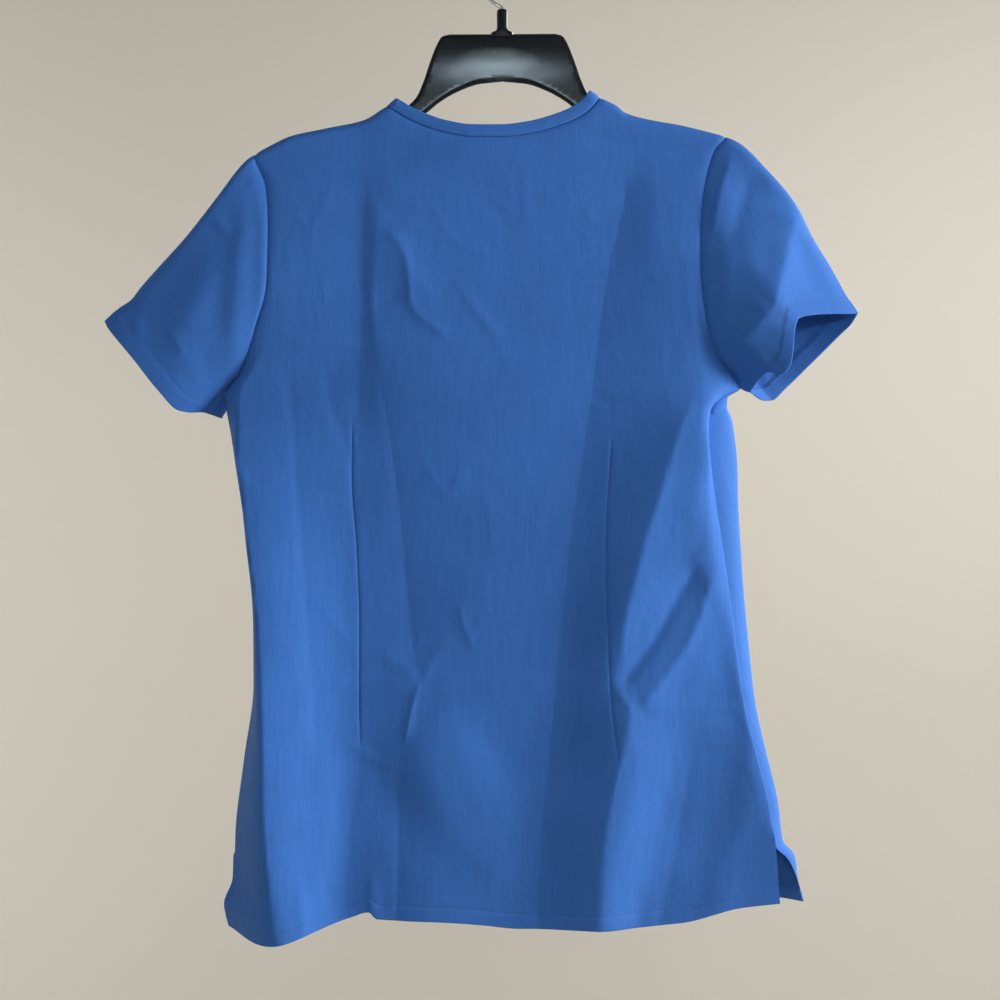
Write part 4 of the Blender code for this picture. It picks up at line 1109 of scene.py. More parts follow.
@dataclass(kw_only=True)
class Sleeve(CutPiece):
    """One set-in sleeve, from its armhole to its turned cuff.

    outward is 1 or -1, so that its normals point out of the sleeve. fold_rise and crease_rise say how steeply
    its folds and creases rise from its edges: round the sleeve, and down it.
    """

    top: Table
    under: Table
    back_cuff: Table
    front_cuff: Table
    folds: Folds
    outward: int
    hem_line: float = 13.0
    seam_reach: float = 1.6
    fold_rise: tuple[float, float] = (6.0, 8.0)
    crease_rise: tuple[float, float] = (12.0, 0.08)
    top_ease: int = 4
    rows: np.ndarray = field(default_factory=lambda: crowded(76, (0.0, 1.0), 5.0, 0.02))

    def half(self, armhole: np.ndarray, cuff: Table, facing: Facing) -> np.ndarray:
        """Gives the points of one half, from the armhole out and from the top fold down.

        Args:
            armhole: the armhole's points.
            cuff: rows of share, x, y and z.
            facing: which half it is.

        Returns:
            The points, rows by columns.
        """
        lengths = lengths_along(armhole)
        around = lengths / lengths[-1]
        foot = np.stack([column(cuff, 0, 1 + k, around) for k in range(3)], axis=-1)
        top, under = along(self.top, self.rows), along(self.under, self.rows)
        top += (armhole[0] - top[0]) * (1 - self.rows)[:, None] ** self.top_ease
        under += (armhole[-1] - under[0]) * (1 - self.rows)[:, None]
        points = coons(armhole, foot, top, under, around, self.rows)
        rows = self.rows[:, None]
        if facing is Facing.BACK:
            edge = arch(around, self.fold_rise[0])[None] * arch(rows, self.fold_rise[1])
            points[..., 1] += facing.value * fold_height(self.folds, points[..., 0], points[..., 2]) * edge
        near_edges = smooth(arch(around, self.crease_rise[0]))[None] * smooth(rows / self.crease_rise[1])
        points[..., 1] += facing.value * creased(self.creases, points[..., 0], points[..., 2]) * near_edges
        return points

    def points(self, back_edge: np.ndarray, front_edge: np.ndarray) -> np.ndarray:
        """Gives the points of the whole sleeve as a closed ring of columns from its top fold.

        Args:
            back_edge: the back's side of the armhole.
            front_edge: the front's side of it.

        Returns:
            The points, rows by columns.
        """
        back = self.half(back_edge, self.back_cuff, Facing.BACK)
        front = self.half(front_edge, self.front_cuff, Facing.FRONT)
        return np.concatenate([back, front[:, -2:0:-1]], axis=1)

    def hang(self, outer: np.ndarray, normals: np.ndarray) -> tuple[Wall, np.ndarray]:
        """Makes the sleeve's wall.

        Args:
            outer: the hung points.
            normals: the direction of the wall at each.

        Returns:
            The wall, and each point's distance from the cuff's edge.
        """
        down, around = lengths_along(outer), lengths_along(outer, axis=1)
        foot = down[-1:] - down
        weave = np.stack([np.broadcast_to(around.mean(axis=0), down.shape), down], axis=-1)
        return self.sewn((outer, normals), weave, foot, down, ring=True), foot


@dataclass
class Neckband:
    """The folded band that finishes the neck edge, as one ring."""

    name: str = "neckband_cloth"
    width: float = 9.5
    wall: float = 1.4
    lift: float = 0.35
    seam_sink: float = 0.8
    seam_reach: float = 1.0
    stitch_line: float = 2.3
    stitch_sink: float = 0.25
    stitch_reach: float = 0.7
    lean: tuple[float, float, float] = (0.88, 0.0, 0.47)
    lean_reach: float = 5.0
    rows: int = 15

    def points(self, foot: np.ndarray, normals: np.ndarray) -> np.ndarray:
        """Stands the band on the neck edge of the back and the front.

        Args:
            foot: the ring of points on the neck edge.
            normals: the direction of the cloth there.

        Returns:
            The points, rows by columns.
        """
        ahead = np.roll(foot, -1, axis=0)
        away = unit(np.cross(normals, ahead - np.roll(foot, 1, axis=0)))
        whole = np.linalg.norm(ahead - foot, axis=1).sum()
        place = lengths_along(foot)
        for corner, inward in ((foot[:, 0].argmin(), 1), (foot[:, 0].argmax(), -1)):
            lean = np.array((inward * self.lean[0], *self.lean[1:]))
            gap = np.abs(place - place[corner])
            share = np.exp(-(np.minimum(gap, whole - gap) / self.lean_reach) ** 2)[:, None]
            away = unit(away * (1 - share) + lean * share)
        rows = crowded(self.rows, (0.0, 1.0), 3.0, 0.1)[:, None, None]
        return foot[None] + away[None] * rows * self.width

    def hang(self, outer: np.ndarray, normals: np.ndarray) -> tuple[Wall, np.ndarray]:
        """Makes the band's wall, with its seam sunk and its folded edge rounded.

        Args:
            outer: the band's points.
            normals: the direction of the wall at each.

        Returns:
            The wall, and each point's distance from the seam, as a value that falls down the columns.
        """
        up = lengths_along(outer)
        weave = np.stack([np.broadcast_to(lengths_along(outer[0]), up.shape), up], axis=-1)
        wall = Wall(self.name, outer, normals, weave, np.full(up.shape, self.wall), True)
        groove = self.stitch_sink * np.exp(-((up - self.stitch_line) / self.stitch_reach) ** 2)
        wall.sink(self.seam_sink * np.exp(-up / self.seam_reach) + groove - self.lift)
        wall.round_off(up[-1:] - up)
        return wall, -up


@dataclass
class Stitching:
    """Lockstitches of thread, one small bead of thread for each stitch."""

    length: float = 1.9
    pitch: float = 3.0
    width: float = 0.42
    height: float = 0.30
    lift: float = 0.06
    look_ahead: float = 0.5

    def bead(self) -> tuple[np.ndarray, list[tuple[int, ...]]]:
        """Makes one stitch along x.

        Returns:
            Its points and its faces.
        """
        bm = bmesh.new()
        bmesh.ops.create_uvsphere(bm, u_segments=6, v_segments=4, radius=0.5)
        bmesh.ops.rotate(bm, verts=bm.verts, cent=(0, 0, 0), matrix=Matrix.Rotation(math.pi / 2, 3, "Y"))
        bmesh.ops.scale(bm, vec=(self.length, self.width, self.height), verts=bm.verts)
        bmesh.ops.recalc_face_normals(bm, faces=bm.faces)
        points = np.array([vert.co[:] for vert in bm.verts])
        faces = [tuple(vert.index for vert in face.verts) for face in bm.faces]
        bm.free()
        return points, faces

    def sew(self, name: str, lines: list[Line], material: bpy.types.Material) -> bpy.types.Object:
        """Lays stitches along lines on the cloth.

        Args:
            name: the piece's name.
            lines: the lines.
            material: the thread's finish.

        Returns:
            The stitches as one piece.
        """
        bead, faces = self.bead()
        points, every_face = [], []
        for line, normals in lines:
            lengths = lengths_along(line)
            places = np.arange(self.pitch / 2, lengths[-1], self.pitch)
            middles = between(places, lengths, line)
            run = unit(between(places + self.look_ahead, lengths, line) - middles)
            run[-1] = run[-2]
            across = unit(np.cross(unit(between(places, lengths, normals)), run))
            up = np.cross(run, across)
            for middle, x, y, z in zip(middles, run, across, up):
                start = len(points) * len(bead)
                points.append(middle + self.lift * z + bead @ np.stack([x, y, z]))
                every_face += [tuple(start + index for index in face) for face in faces]
        mesh = bpy.data.meshes.new(name)
        mesh.from_pydata(np.concatenate(points) * MM, [], every_face)
        mesh.shade_smooth()
        return add_object(name, mesh, material)


@dataclass
class ScrubTop:
    """The sewn top: back, front, two sleeves, neckband and their stitches."""

    armhole_rows: int = 66
    side_rows: int = 104
    vent_rows: int = 26
    back_columns: int = 240
    front_columns: int = 110
    stitch_offset: float = 1.0
    walls: dict[str, Wall] = field(default_factory=dict)
    lines: dict[str, list[Line]] = field(default_factory=dict)

    def levels(self) -> np.ndarray:
        """Gives the rows of both panels.

        Returns:
            Their levels, crowded at the shoulder, the armpit and the hem.
        """
        arm = crowded(self.armhole_rows, (0.0,), 4.0, 0.05) * ARMPIT
        side = ARMPIT + crowded(self.side_rows, (0.0,), 1.0, 0.02) * (VENT_TOP - ARMPIT)
        vent = VENT_TOP + crowded(self.vent_rows, (0.83, 1.0), 5.0, 0.03) * (1 - VENT_TOP)
        return np.concatenate([arm, side[1:], vent[1:]])

    @staticmethod
    def columns(count: int, places: tuple[float, ...]) -> np.ndarray:
        """Gives the columns of a panel.

        Args:
            count: how many there are.
            places: shares of the width where they crowd, besides the seams.

        Returns:
            Their shares of the width.
        """
        shares = crowded(count, (0.0, 1.0) + places, 4.0, 0.005)
        for corner in (NECK_LEFT, NECK_RIGHT, *places):
            shares[np.abs(shares - corner).argmin()] = corner
        return shares

    @staticmethod
    def sleeves() -> dict[Side, Sleeve]:
        """Gives the two sleeves."""
        return {
            Side.LEFT: Sleeve(
                name="left_sleeve_cloth", outward=1, top=LEFT_TOP, under=LEFT_UNDER, back_cuff=LEFT_BACK_CUFF,
                front_cuff=LEFT_FRONT_CUFF, folds=LEFT_SLEEVE_FOLDS, creases=LEFT_SLEEVE_CREASES),
            Side.RIGHT: Sleeve(
                name="right_sleeve_cloth", outward=-1, top=RIGHT_TOP, under=RIGHT_UNDER, hem_wall=1.8,
                back_cuff=RIGHT_BACK_CUFF, front_cuff=RIGHT_FRONT_CUFF, folds=RIGHT_SLEEVE_FOLDS,
                creases=RIGHT_SLEEVE_CREASES)}

    def cut(self) -> None:
        """Lays out and hangs every piece, and gives the seams' points one place and direction."""
        levels = self.levels()
        back = BackPanel(columns=self.columns(self.back_columns, tuple(DRAWN_LINES)), levels=levels)
        front = FrontPanel(columns=self.columns(self.front_columns, ()), levels=levels)
        (back_flat, back_points), (front_flat, front_points) = back.points(), front.points()
        armpit, vent = self.armhole_rows - 1, self.armhole_rows + self.side_rows - 2
        arm, seam = slice(0, armpit + 1), slice(armpit, vent + 1)
        for side in Side:
            for rows in (seam, 0):
                front_points[rows, side.value] = back_points[rows, side.value]
        self.match_shoulders(back, front, back_points, front_points)

        back_normals, front_normals = grid_normals(back_points, False), -grid_normals(front_points, False)
        back_half = list(range(armpit + 1))
        front_half = [0, *range(2 * armpit - 1, armpit - 1, -1)]
        sleeves = []
        for side, sleeve in self.sleeves().items():
            edge = side.value
            points = sleeve.points(back_points[arm, edge], front_points[arm, edge])
            normals = sleeve.outward * grid_normals(points, True)
            self.share((back_normals, (arm, edge)), (normals, (0, back_half)))
            self.share((front_normals, (arm, edge)), (normals, (0, front_half)))
            self.share((back_normals, (seam, edge)), (front_normals, (seam, edge)))
            self.share((back_normals, (0, edge)), (front_normals, (0, edge)), (normals, (0, 0)))
            sleeves.append((side.name.lower(), sleeve, points, normals))
        self.share_shoulders(back, front, back_normals, front_normals)

        panels = (("back", back, back_flat, (back_points, back_normals)),
                  ("front", front, front_flat, (front_points, front_normals)))
        for name, panel, flat, hung in panels:
            wall, foot = panel.hang(flat, hung)
            self.walls[f"{name}_panel"] = wall
            self.lines[f"{name}_hem"] = [wall.line(foot, panel.hem_line)]
        for name, sleeve, points, normals in sleeves:
            wall, foot = sleeve.hang(points, normals)
            self.walls[f"{name}_sleeve"] = wall
            self.lines[f"{name}_cuff"] = [
                self.closed(wall.line(foot, sleeve.hem_line)),
                self.closed(wall.line(foot, sleeve.hem_line - self.stitch_offset, inside=True))]
        self.add_band(self.round_neck(back, front, back_points[0], front_points[0]),
                      self.round_neck(back, front, back_normals[0], front_normals[0]))

    def add_band(self, foot: np.ndarray, foot_normals: np.ndarray) -> None:
        """Stands the neckband on the neck edge and hangs it.

        Args:
            foot: the ring of points on the neck edge.
            foot_normals: the direction of the cloth there.
        """
        band = Neckband()
        points = band.points(foot, foot_normals)
        normals = -grid_normals(points, True)
        normals[0] = foot_normals
        self.walls["neckband"], seam = band.hang(points, normals)
        self.lines["neckband"] = [self.closed(self.walls["neckband"].line(seam, -band.stitch_line))]

    @staticmethod
    def closed(line: Line) -> Line:
        """Brings a ring's line back to its start."""
        return tuple(np.concatenate([part, part[:1]]) for part in line)

    @staticmethod
    def share(*edges: tuple[np.ndarray, tuple]) -> None:
        """Gives the matching points of several edges the same direction.

        Args:
            edges: for each edge, a panel's or sleeve's normals and the edge's place in them.
        """
        total = unit(sum(normals[index] for normals, index in edges))
        for normals, index in edges:
            normals[index] = total

    @staticmethod
    def shoulder_parts(panel: Panel) -> tuple[slice, slice]:
        """Finds a panel's two shoulders.

        Args:
            panel: the panel.

        Returns:
            The columns of the left one and of the right one.
        """
        left, right = (int(np.flatnonzero(panel.columns == corner)[0]) for corner in (NECK_LEFT, NECK_RIGHT))
        return slice(0, left + 1), slice(right, len(panel.columns))

    def match_shoulders(self, back: Panel, front: Panel, back_points: np.ndarray, front_points: np.ndarray
                        ) -> None:
        """Puts the front's shoulder seams on the back's.

        Args:
            back: the back.
            front: the front.
            back_points: the back's hung points.
            front_points: the front's, which are changed.
        """
        for ours, theirs in zip(self.shoulder_parts(front), self.shoulder_parts(back)):
            front_points[0, ours] = between(front.columns[ours], back.columns[theirs], back_points[0, theirs])

    def share_shoulders(self, back: Panel, front: Panel, back_normals: np.ndarray, front_normals: np.ndarray
                        ) -> None:
        """Gives the shoulder seams of both panels one direction.

        Args:
            back: the back.
            front: the front.
            back_normals: the back's normals, which are changed.
            front_normals: the front's, which are changed.
        """
        for ours, theirs in zip(self.shoulder_parts(front), self.shoulder_parts(back)):
            front_places, back_places = front.columns[ours], back.columns[theirs]
            seen = between(back_places, front_places, front_normals[0, ours])
            front_normals[0, ours] += between(front_places, back_places, back_normals[0, theirs])
            back_normals[0, theirs] += seen
        back_normals[0], front_normals[0] = unit(back_normals[0]), unit(front_normals[0])

    def round_neck(self, back: Panel, front: Panel, back_row: np.ndarray, front_row: np.ndarray
                   ) -> np.ndarray:
        """Joins the neck edges of both panels into one ring, from the left shoulder round the back.

        Args:
            back: the back.
            front: the front.
            back_row: what is joined, at each column of the back's first row.
            front_row: the same for the front.

        Returns:
            The ring.
        """
        left, right = self.shoulder_parts(back)
        front_left, front_right = self.shoulder_parts(front)
        return np.concatenate([back_row[left.stop - 1:right.start + 1],
                               front_row[front_right.start - 1:front_left.stop - 1:-1]])

    def make(self, cloth: bpy.types.Material, thread: bpy.types.Material) -> list[bpy.types.Object]:
        """Args:
            cloth: the cloth's finish.
            thread: the thread's finish.

        Returns:
            The pieces.
        """
        self.cut()
        stitches = {name: Stitching().sew(f"{name}_stitches", lines, thread)
                    for name, lines in self.lines.items()}
        made = list(stitches.values())
        for node, (width, length, area, sewn) in CUTS.items():
            piece = self.walls[node].build(cloth)
            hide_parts(node)
            made.append(piece)
        for piece in made:
            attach(piece, BODY)
        return made


@dataclass
class Hanger:
    """The moulded hanger: a thick plate with a crowned face, and the round neck that holds the hook.

    The face falls away from the crown's middle by crown at crown_reach of it, along x and z, and by
    crown_most at the most. The plate is cut into strips of cut_step along x and z, so that it can follow.
    """

    depth: float = 10.0
    rim: float = 3.2
    outline_steps: int = 140
    cuts: int = 17
    cut_step: tuple[float, float] = (5.0, 2.5)
    cut_middle: float = -104.0
    crown: tuple[float, float] = (1.9, 1.7)
    crown_reach: tuple[float, float] = (60.0, 17.0)
    crown_middle: float = -93.0
    crown_most: float = 2.4
    crown_keep: float = 0.5
    tilt: float = math.radians(0.35)
    tilt_centre: float = -56.4
    neck_sides: int = 48
    neck_half_depth: float = 4.7

    def outline(self) -> list[tuple[float, float]]:
        """Gives the whole outline, rounded between the points of its two halves."""
        half = along(HANGER_OUTLINE, np.linspace(0, 1, self.outline_steps))
        return [(x, z) for x, z in half] + [(-x, z) for x, z in half[::-1][1:]]

    def plate(self) -> bmesh.types.BMesh:
        """Makes the plate, with rounded rims and a face that is crowned across its height.

        Returns:
            The plate's mesh.
        """
        bm = bmesh.new()
        face = bm.faces.new([bm.verts.new((x, -self.depth / 2, z)) for x, z in self.outline()])
        made = bmesh.ops.extrude_face_region(bm, geom=[face], use_keep_orig=True)["geom"]
        far = [item for item in made if isinstance(item, bmesh.types.BMVert)]
        bmesh.ops.translate(bm, verts=far, vec=(0, self.depth, 0))
        bmesh.ops.recalc_face_normals(bm, faces=bm.faces)
        rims = [edge for edge in bm.edges if abs(edge.verts[0].co.y - edge.verts[1].co.y) < self.depth / 2]
        bmesh.ops.bevel(bm, geom=rims, offset=self.rim, segments=5, profile=0.5, affect="EDGES", material=-1)
        bmesh.ops.triangulate(bm, faces=[face for face in bm.faces if len(face.verts) > 4])
        for step in range(-self.cuts, self.cuts + 1):
            level = step * self.cut_step[1] + self.cut_middle
            for place, across in (((step * self.cut_step[0], 0, 0), (1, 0, 0)), ((0, 0, level), (0, 0, 1))):
                bmesh.ops.bisect_plane(bm, geom=bm.verts[:] + bm.edges[:] + bm.faces[:], dist=1e-4,
                                       plane_co=place, plane_no=across)
        for vert in bm.verts:
            x, y, z = vert.co
            reached = (x / self.crown_reach[0], (z - self.crown_middle) / self.crown_reach[1])
            fall = sum(drop * reach ** 2 for drop, reach in zip(self.crown, reached))
            fall = self.crown_most * math.tanh(fall / self.crown_most)
            vert.co.y = math.copysign(max(abs(y) - fall, abs(y) * self.crown_keep), y)
        return bm

    def neck(self) -> bmesh.types.BMesh:
        """Makes the round neck with the blind bore that the hook stands in.

        Returns:
            The neck's mesh.
        """
        bm = turn_profile(HANGER_NECK, self.neck_sides)
        for vert in bm.verts:
            vert.co.y = max(-self.neck_half_depth, min(self.neck_half_depth, vert.co.y))
        bmesh.ops.recalc_face_normals(bm, faces=bm.faces)
        return bm

    def make(self, plastic: bpy.types.Material) -> list[bpy.types.Object]:
        """Args:
            plastic: the plastic's finish.

        Returns:
            The pieces.
        """
        made = []
        turn = Matrix.Rotation(-self.tilt, 3, "Y")
        for name, bm in (("hanger_plate", self.plate()), ("hanger_neck", self.neck())):
            bmesh.ops.rotate(bm, verts=bm.verts, cent=(0, 0, self.tilt_centre), matrix=turn)
            made.append(finish_object(name, bm, plastic, 40.0))
        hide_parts("hanger")
        for piece in made:
            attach(piece, BODY)
        return made


@dataclass
class Hook:
    """The wire hook: a round crook over the rod and a shank that bends in to the hanger's neck."""

    wire: float = 1.5
    crook: float = 20.5
    open_end: float = math.radians(-38)
    leaves: float = math.radians(200)
    steps: int = 64
    shank_steps: int = 40
    tip_rounding: float = 0.7

    def route(self) -> np.ndarray:
        """Gives the points that the wire follows.

        Returns:
            Rows of x and z.
        """
        turns = np.linspace(self.open_end, self.leaves, self.steps)
        centre = self.wire - self.crook
        crook = [(self.crook * math.cos(turn), centre + self.crook * math.sin(turn)) for turn in turns]
        return np.concatenate([crook, along(HOOK_SHANK, np.linspace(0, 1, self.shank_steps))])

    def tube(self) -> bmesh.types.BMesh:
        """Makes the wire round its route.

        Returns:
            The closed tube.
        """
        curve = bpy.data.curves.new("hook_route", "CURVE")
        curve.dimensions = "3D"
        curve.bevel_depth = self.wire
        curve.bevel_resolution = 5
        curve.use_fill_caps = True
        route = self.route()
        spline = curve.splines.new("POLY")
        spline.points.add(len(route) - 1)
        for point, (x, z) in zip(spline.points, route):
            point.co = (x, 0, z, 1)
        spline.use_smooth = True
        carrier = bpy.data.objects.new("hook_route", curve)
        bm = bmesh.new()
        bm.from_mesh(carrier.to_mesh())
        bpy.data.objects.remove(carrier)
        bmesh.ops.remove_doubles(bm, verts=bm.verts, dist=WELD)
        return bm

    def make(self, steel: bpy.types.Material) -> bpy.types.Object:
        """Args:
            steel: the wire's finish.

        Returns:
            The piece.
        """
        bm = self.tube()
        tip = [edge for edge in bm.edges if len({face.normal.to_tuple(1) for face in edge.link_faces}) == 2
               and any(len(face.verts) > 4 for face in edge.link_faces)
               and edge.verts[0].co.x > self.crook / 2]
        bmesh.ops.bevel(bm, geom=tip, offset=self.wire * self.tip_rounding, segments=4, profile=0.5,
                        affect="EDGES", material=-1)
        bmesh.ops.recalc_face_normals(bm, faces=bm.faces)
        made = finish_object("hook_wire", bm, steel, 50.0)
        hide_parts("hook")
        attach(made, BODY)
        return made


# Finishes.

class Value:
    """One number socket of a node tree, with arithmetic that adds Math nodes."""

    def __init__(self, tree: "Tree", socket: bpy.types.NodeSocket) -> None:
        """Wraps a socket."""
        self.tree = tree
        self.socket = socket

    def math(self, operation: str, *others: "Value | float", swap: bool = False) -> "Value":
        """Adds one Math node.

        Args:
            operation: its operation.
            others: its other inputs.
            swap: True where this socket is the second input.

        Returns:
            The result.
        """
        inputs = [*others, self] if swap else [self, *others]
        return self.tree.value("ShaderNodeMath", {"operation": operation}, dict(enumerate(inputs)))

    def __add__(self, other: "Value | float") -> "Value":
        """Adds."""
        return self.math("ADD", other)

    __radd__ = __add__

    def __sub__(self, other: "Value | float") -> "Value":
        """Subtracts."""
        return self.math("SUBTRACT", other)

    def __rsub__(self, other: "Value | float") -> "Value":
        """Subtracts this from a number."""
        return self.math("SUBTRACT", other, swap=True)

    def __mul__(self, other: "Value | float") -> "Value":
        """Multiplies."""
        return self.math("MULTIPLY", other)

    __rmul__ = __mul__

    def eased(self, low: float, high: float) -> "Value":
        """Eases this from 0 at low to 1 at high."""
        return self.tree.value("ShaderNodeMapRange", {"interpolation_type": "SMOOTHSTEP"},
                               {"Value": self, "From Min": low, "From Max": high})


class Tree:
    """The node tree of one finish."""

    def __init__(self, name: str, uv: bool) -> None:
        """Starts a material with its Principled shader.

        Args:
            name: the material's name.
            uv: True where the pattern follows the laid-out cloth, False where it follows the object.
        """
        self.material = bpy.data.materials.new(name)
        self.material.use_nodes = True
        self.nodes = self.material.node_tree.nodes
        self.links = self.material.node_tree.links
        self.shader = self.nodes["Principled BSDF"]
        self.place = self.node("ShaderNodeTexCoord", {}, {}).outputs["Object"]
        self.cloth = self.node("ShaderNodeUVMap", {"uv_map": WEAVE_MAP}, {}).outputs["UV"] if uv else None

    def node(self, kind: str, settings: dict[str, object], inputs: dict[str | int, object]) -> bpy.types.Node:
        """Adds any node.

        Args:
            kind: its type.
            settings: its own settings, set first.
            inputs: values or links for its sockets, by name or number.

        Returns:
            The node.
        """
        made = self.nodes.new(kind)
        for name, setting in settings.items():
            setattr(made, name, setting)
        for name, given in inputs.items():
            self.feed(made.inputs[name], given)
        return made

    def feed(self, socket: bpy.types.NodeSocket, given: object) -> None:
        """Links a socket to a source, or sets it to a value.

        Args:
            socket: the socket.
            given: a wrapped or bare source, or a value.
        """
        if isinstance(given, Value):
            given = given.socket
        if isinstance(given, bpy.types.NodeSocket):
            self.links.new(given, socket)
        else:
            socket.default_value = given

    def value(self, kind: str, settings: dict[str, object], inputs: dict[str | int, object]) -> Value:
        """Adds any node and wraps its first output."""
        return Value(self, self.node(kind, settings, inputs).outputs[0])

    def noise(self, place: bpy.types.NodeSocket, stretch: Grain, detail: float = 2.0,
              roughness: float = 0.5) -> Value:
        """Adds noise.

        Args:
            place: what it follows.
            stretch: its scale along each axis, per metre.
            detail: how many finer layers it has.
            roughness: how strong they are.

        Returns:
            The noise, about 0.5.
        """
        mapped = self.node("ShaderNodeMapping", {}, {"Vector": place, "Scale": stretch}).outputs[0]
        return self.value("ShaderNodeTexNoise", {}, {"Vector": mapped, "Scale": 1.0, "Detail": detail,
                                                     "Roughness": roughness})

    def parts(self, place: bpy.types.NodeSocket) -> tuple[Value, Value, Value]:
        """Splits a place into its x, y and z."""
        split = self.node("ShaderNodeSeparateXYZ", {}, {"Vector": place})
        return tuple(Value(self, part) for part in split.outputs)

    def mix(self, factor: Value, first: tuple[float, ...] | bpy.types.NodeSocket,
            second: tuple[float, ...] | bpy.types.NodeSocket) -> bpy.types.NodeSocket:
        """Mixes two colours.

        Args:
            factor: how much of the second there is.
            first: the first colour.
            second: the second.

        Returns:
            The mixed colour.
        """
        made = self.node("ShaderNodeMix", {"data_type": "RGBA"}, {"Factor": factor, 6: first, 7: second})
        return made.outputs[2]

    def bump(self, height: Value, distance: float, normal: bpy.types.NodeSocket | None = None
             ) -> bpy.types.NodeSocket:
        """Adds a bump.

        Args:
            height: its height, from 0 to 1.
            distance: what 1 is, in metres.
            normal: a bump that it stands on.

        Returns:
            The bumped normal.
        """
        inputs = {"Height": height, "Distance": distance, "Strength": 1.0}
        if normal is not None:
            inputs["Normal"] = normal
        return self.node("ShaderNodeBump", {}, inputs).outputs["Normal"]

    def finish(self, plain: Colour, inputs: dict[str, object]) -> bpy.types.Material:
        """Feeds the shader.

        Args:
            plain: the colour that a view without the nodes shows.
            inputs: values or links for the shader's sockets, by name.

        Returns:
            The finished material.
        """
        for name, given in inputs.items():
            self.feed(self.shader.inputs[name], given)
        self.material.diffuse_color = scaled(plain, 1.0)
        return self.material


def scaled(colour: Colour, by: float) -> tuple[float, float, float, float]:
    """Makes a colour lighter or darker."""
    return (*(part * by for part in colour), 1.0)


@dataclass(frozen=True)
class ClothFinish:
    """Fine plain-woven cloth: yarns that vary, a faint sheen and small wrinkles.

    The grains are noise scales, per metre; a yarn runs a long way before it varies. Each weight is that
    grain's part in the tone.
    """

    name: str = "scrub_cloth_woven"
    colour: Colour = (0.0275, 0.122, 0.425)
    darkest: float = 0.78
    lightest: float = 1.24
    roughness: float = 0.80
    roughness_spread: float = 0.12
    sheen: float = 0.05
    sheen_tint: tuple[float, float, float, float] = (0.62, 0.78, 1.0, 1.0)
    cloud_grain: Grain = (13.0, 13.0, 13.0)
    cloud_weight: float = 0.4
    yarn_grain: tuple[float, float] = (700.0, 22.0)
    warp_weight: float = 0.55
    weft_weight: float = 0.12
    fleck_grain: float = 1500.0
    fleck_weight: float = 0.3
    pitch: float = 0.00055
    yarn_height: float = 0.00005
    wrinkle_grain: Grain = (95.0, 60.0, 55.0)
    wrinkle_height: float = 0.0005

    def make(self) -> bpy.types.Material:
        """Builds the material.

        Returns:
            The material.
        """
        tree = Tree(self.name, True)
        fine, coarse = self.yarn_grain
        broad = tree.noise(tree.place, self.cloud_grain, 2.0)
        warp = tree.noise(tree.cloth, (fine, coarse, 1.0), 3.0, 0.6)
        weft = tree.noise(tree.cloth, (coarse, fine, 1.0), 3.0, 0.6)
        fleck = tree.noise(tree.cloth, (self.fleck_grain, self.fleck_grain, 1.0), 1.0)
        tone = ((broad - 0.5) * self.cloud_weight + (warp - 0.5) * self.warp_weight
                + (weft - 0.5) * self.weft_weight + (fleck - 0.5) * self.fleck_weight + 0.5)
        across, down, _ = tree.parts(tree.cloth)
        turn = 2 * math.pi / self.pitch
        weave = (across * turn).math("SINE") * (down * turn).math("SINE") * 0.5 + 0.5
        wrinkles = tree.bump(tree.noise(tree.place, self.wrinkle_grain, 3.0, 0.55), self.wrinkle_height)
        return tree.finish(self.colour, {
            "Base Color": tree.mix(tone.eased(0.0, 1.0), scaled(self.colour, self.darkest),
                                   scaled(self.colour, self.lightest)),
            "Roughness": fleck * self.roughness_spread + (self.roughness - self.roughness_spread / 2),
            "Normal": tree.bump(weave, self.yarn_height, wrinkles),
            "Sheen Weight": self.sheen, "Sheen Roughness": 0.45, "Sheen Tint": self.sheen_tint,
            "Specular IOR Level": 0.25})


@dataclass(frozen=True)
class ThreadFinish:
    """Spun sewing thread, a little lighter and shinier than the cloth."""

    name: str = "scrub_thread"
    colour: Colour = (0.062, 0.172, 0.490)
    twist: float = 0.0004
    ply_height: float = 0.00004

    def make(self) -> bpy.types.Material:
        """Builds the material.

        Returns:
            The material.
        """
        tree = Tree(self.name, False)
        across, _, up = tree.parts(tree.place)
        ply = ((across + up) * (2 * math.pi / self.twist)).math("SINE") * 0.5 + 0.5
        return tree.finish(self.colour, {
            "Base Color": tree.mix(ply, scaled(self.colour, 0.8), scaled(self.colour, 1.1)),
            "Roughness": ply * 0.1 + 0.5,
            "Normal": tree.bump(ply, self.ply_height)})


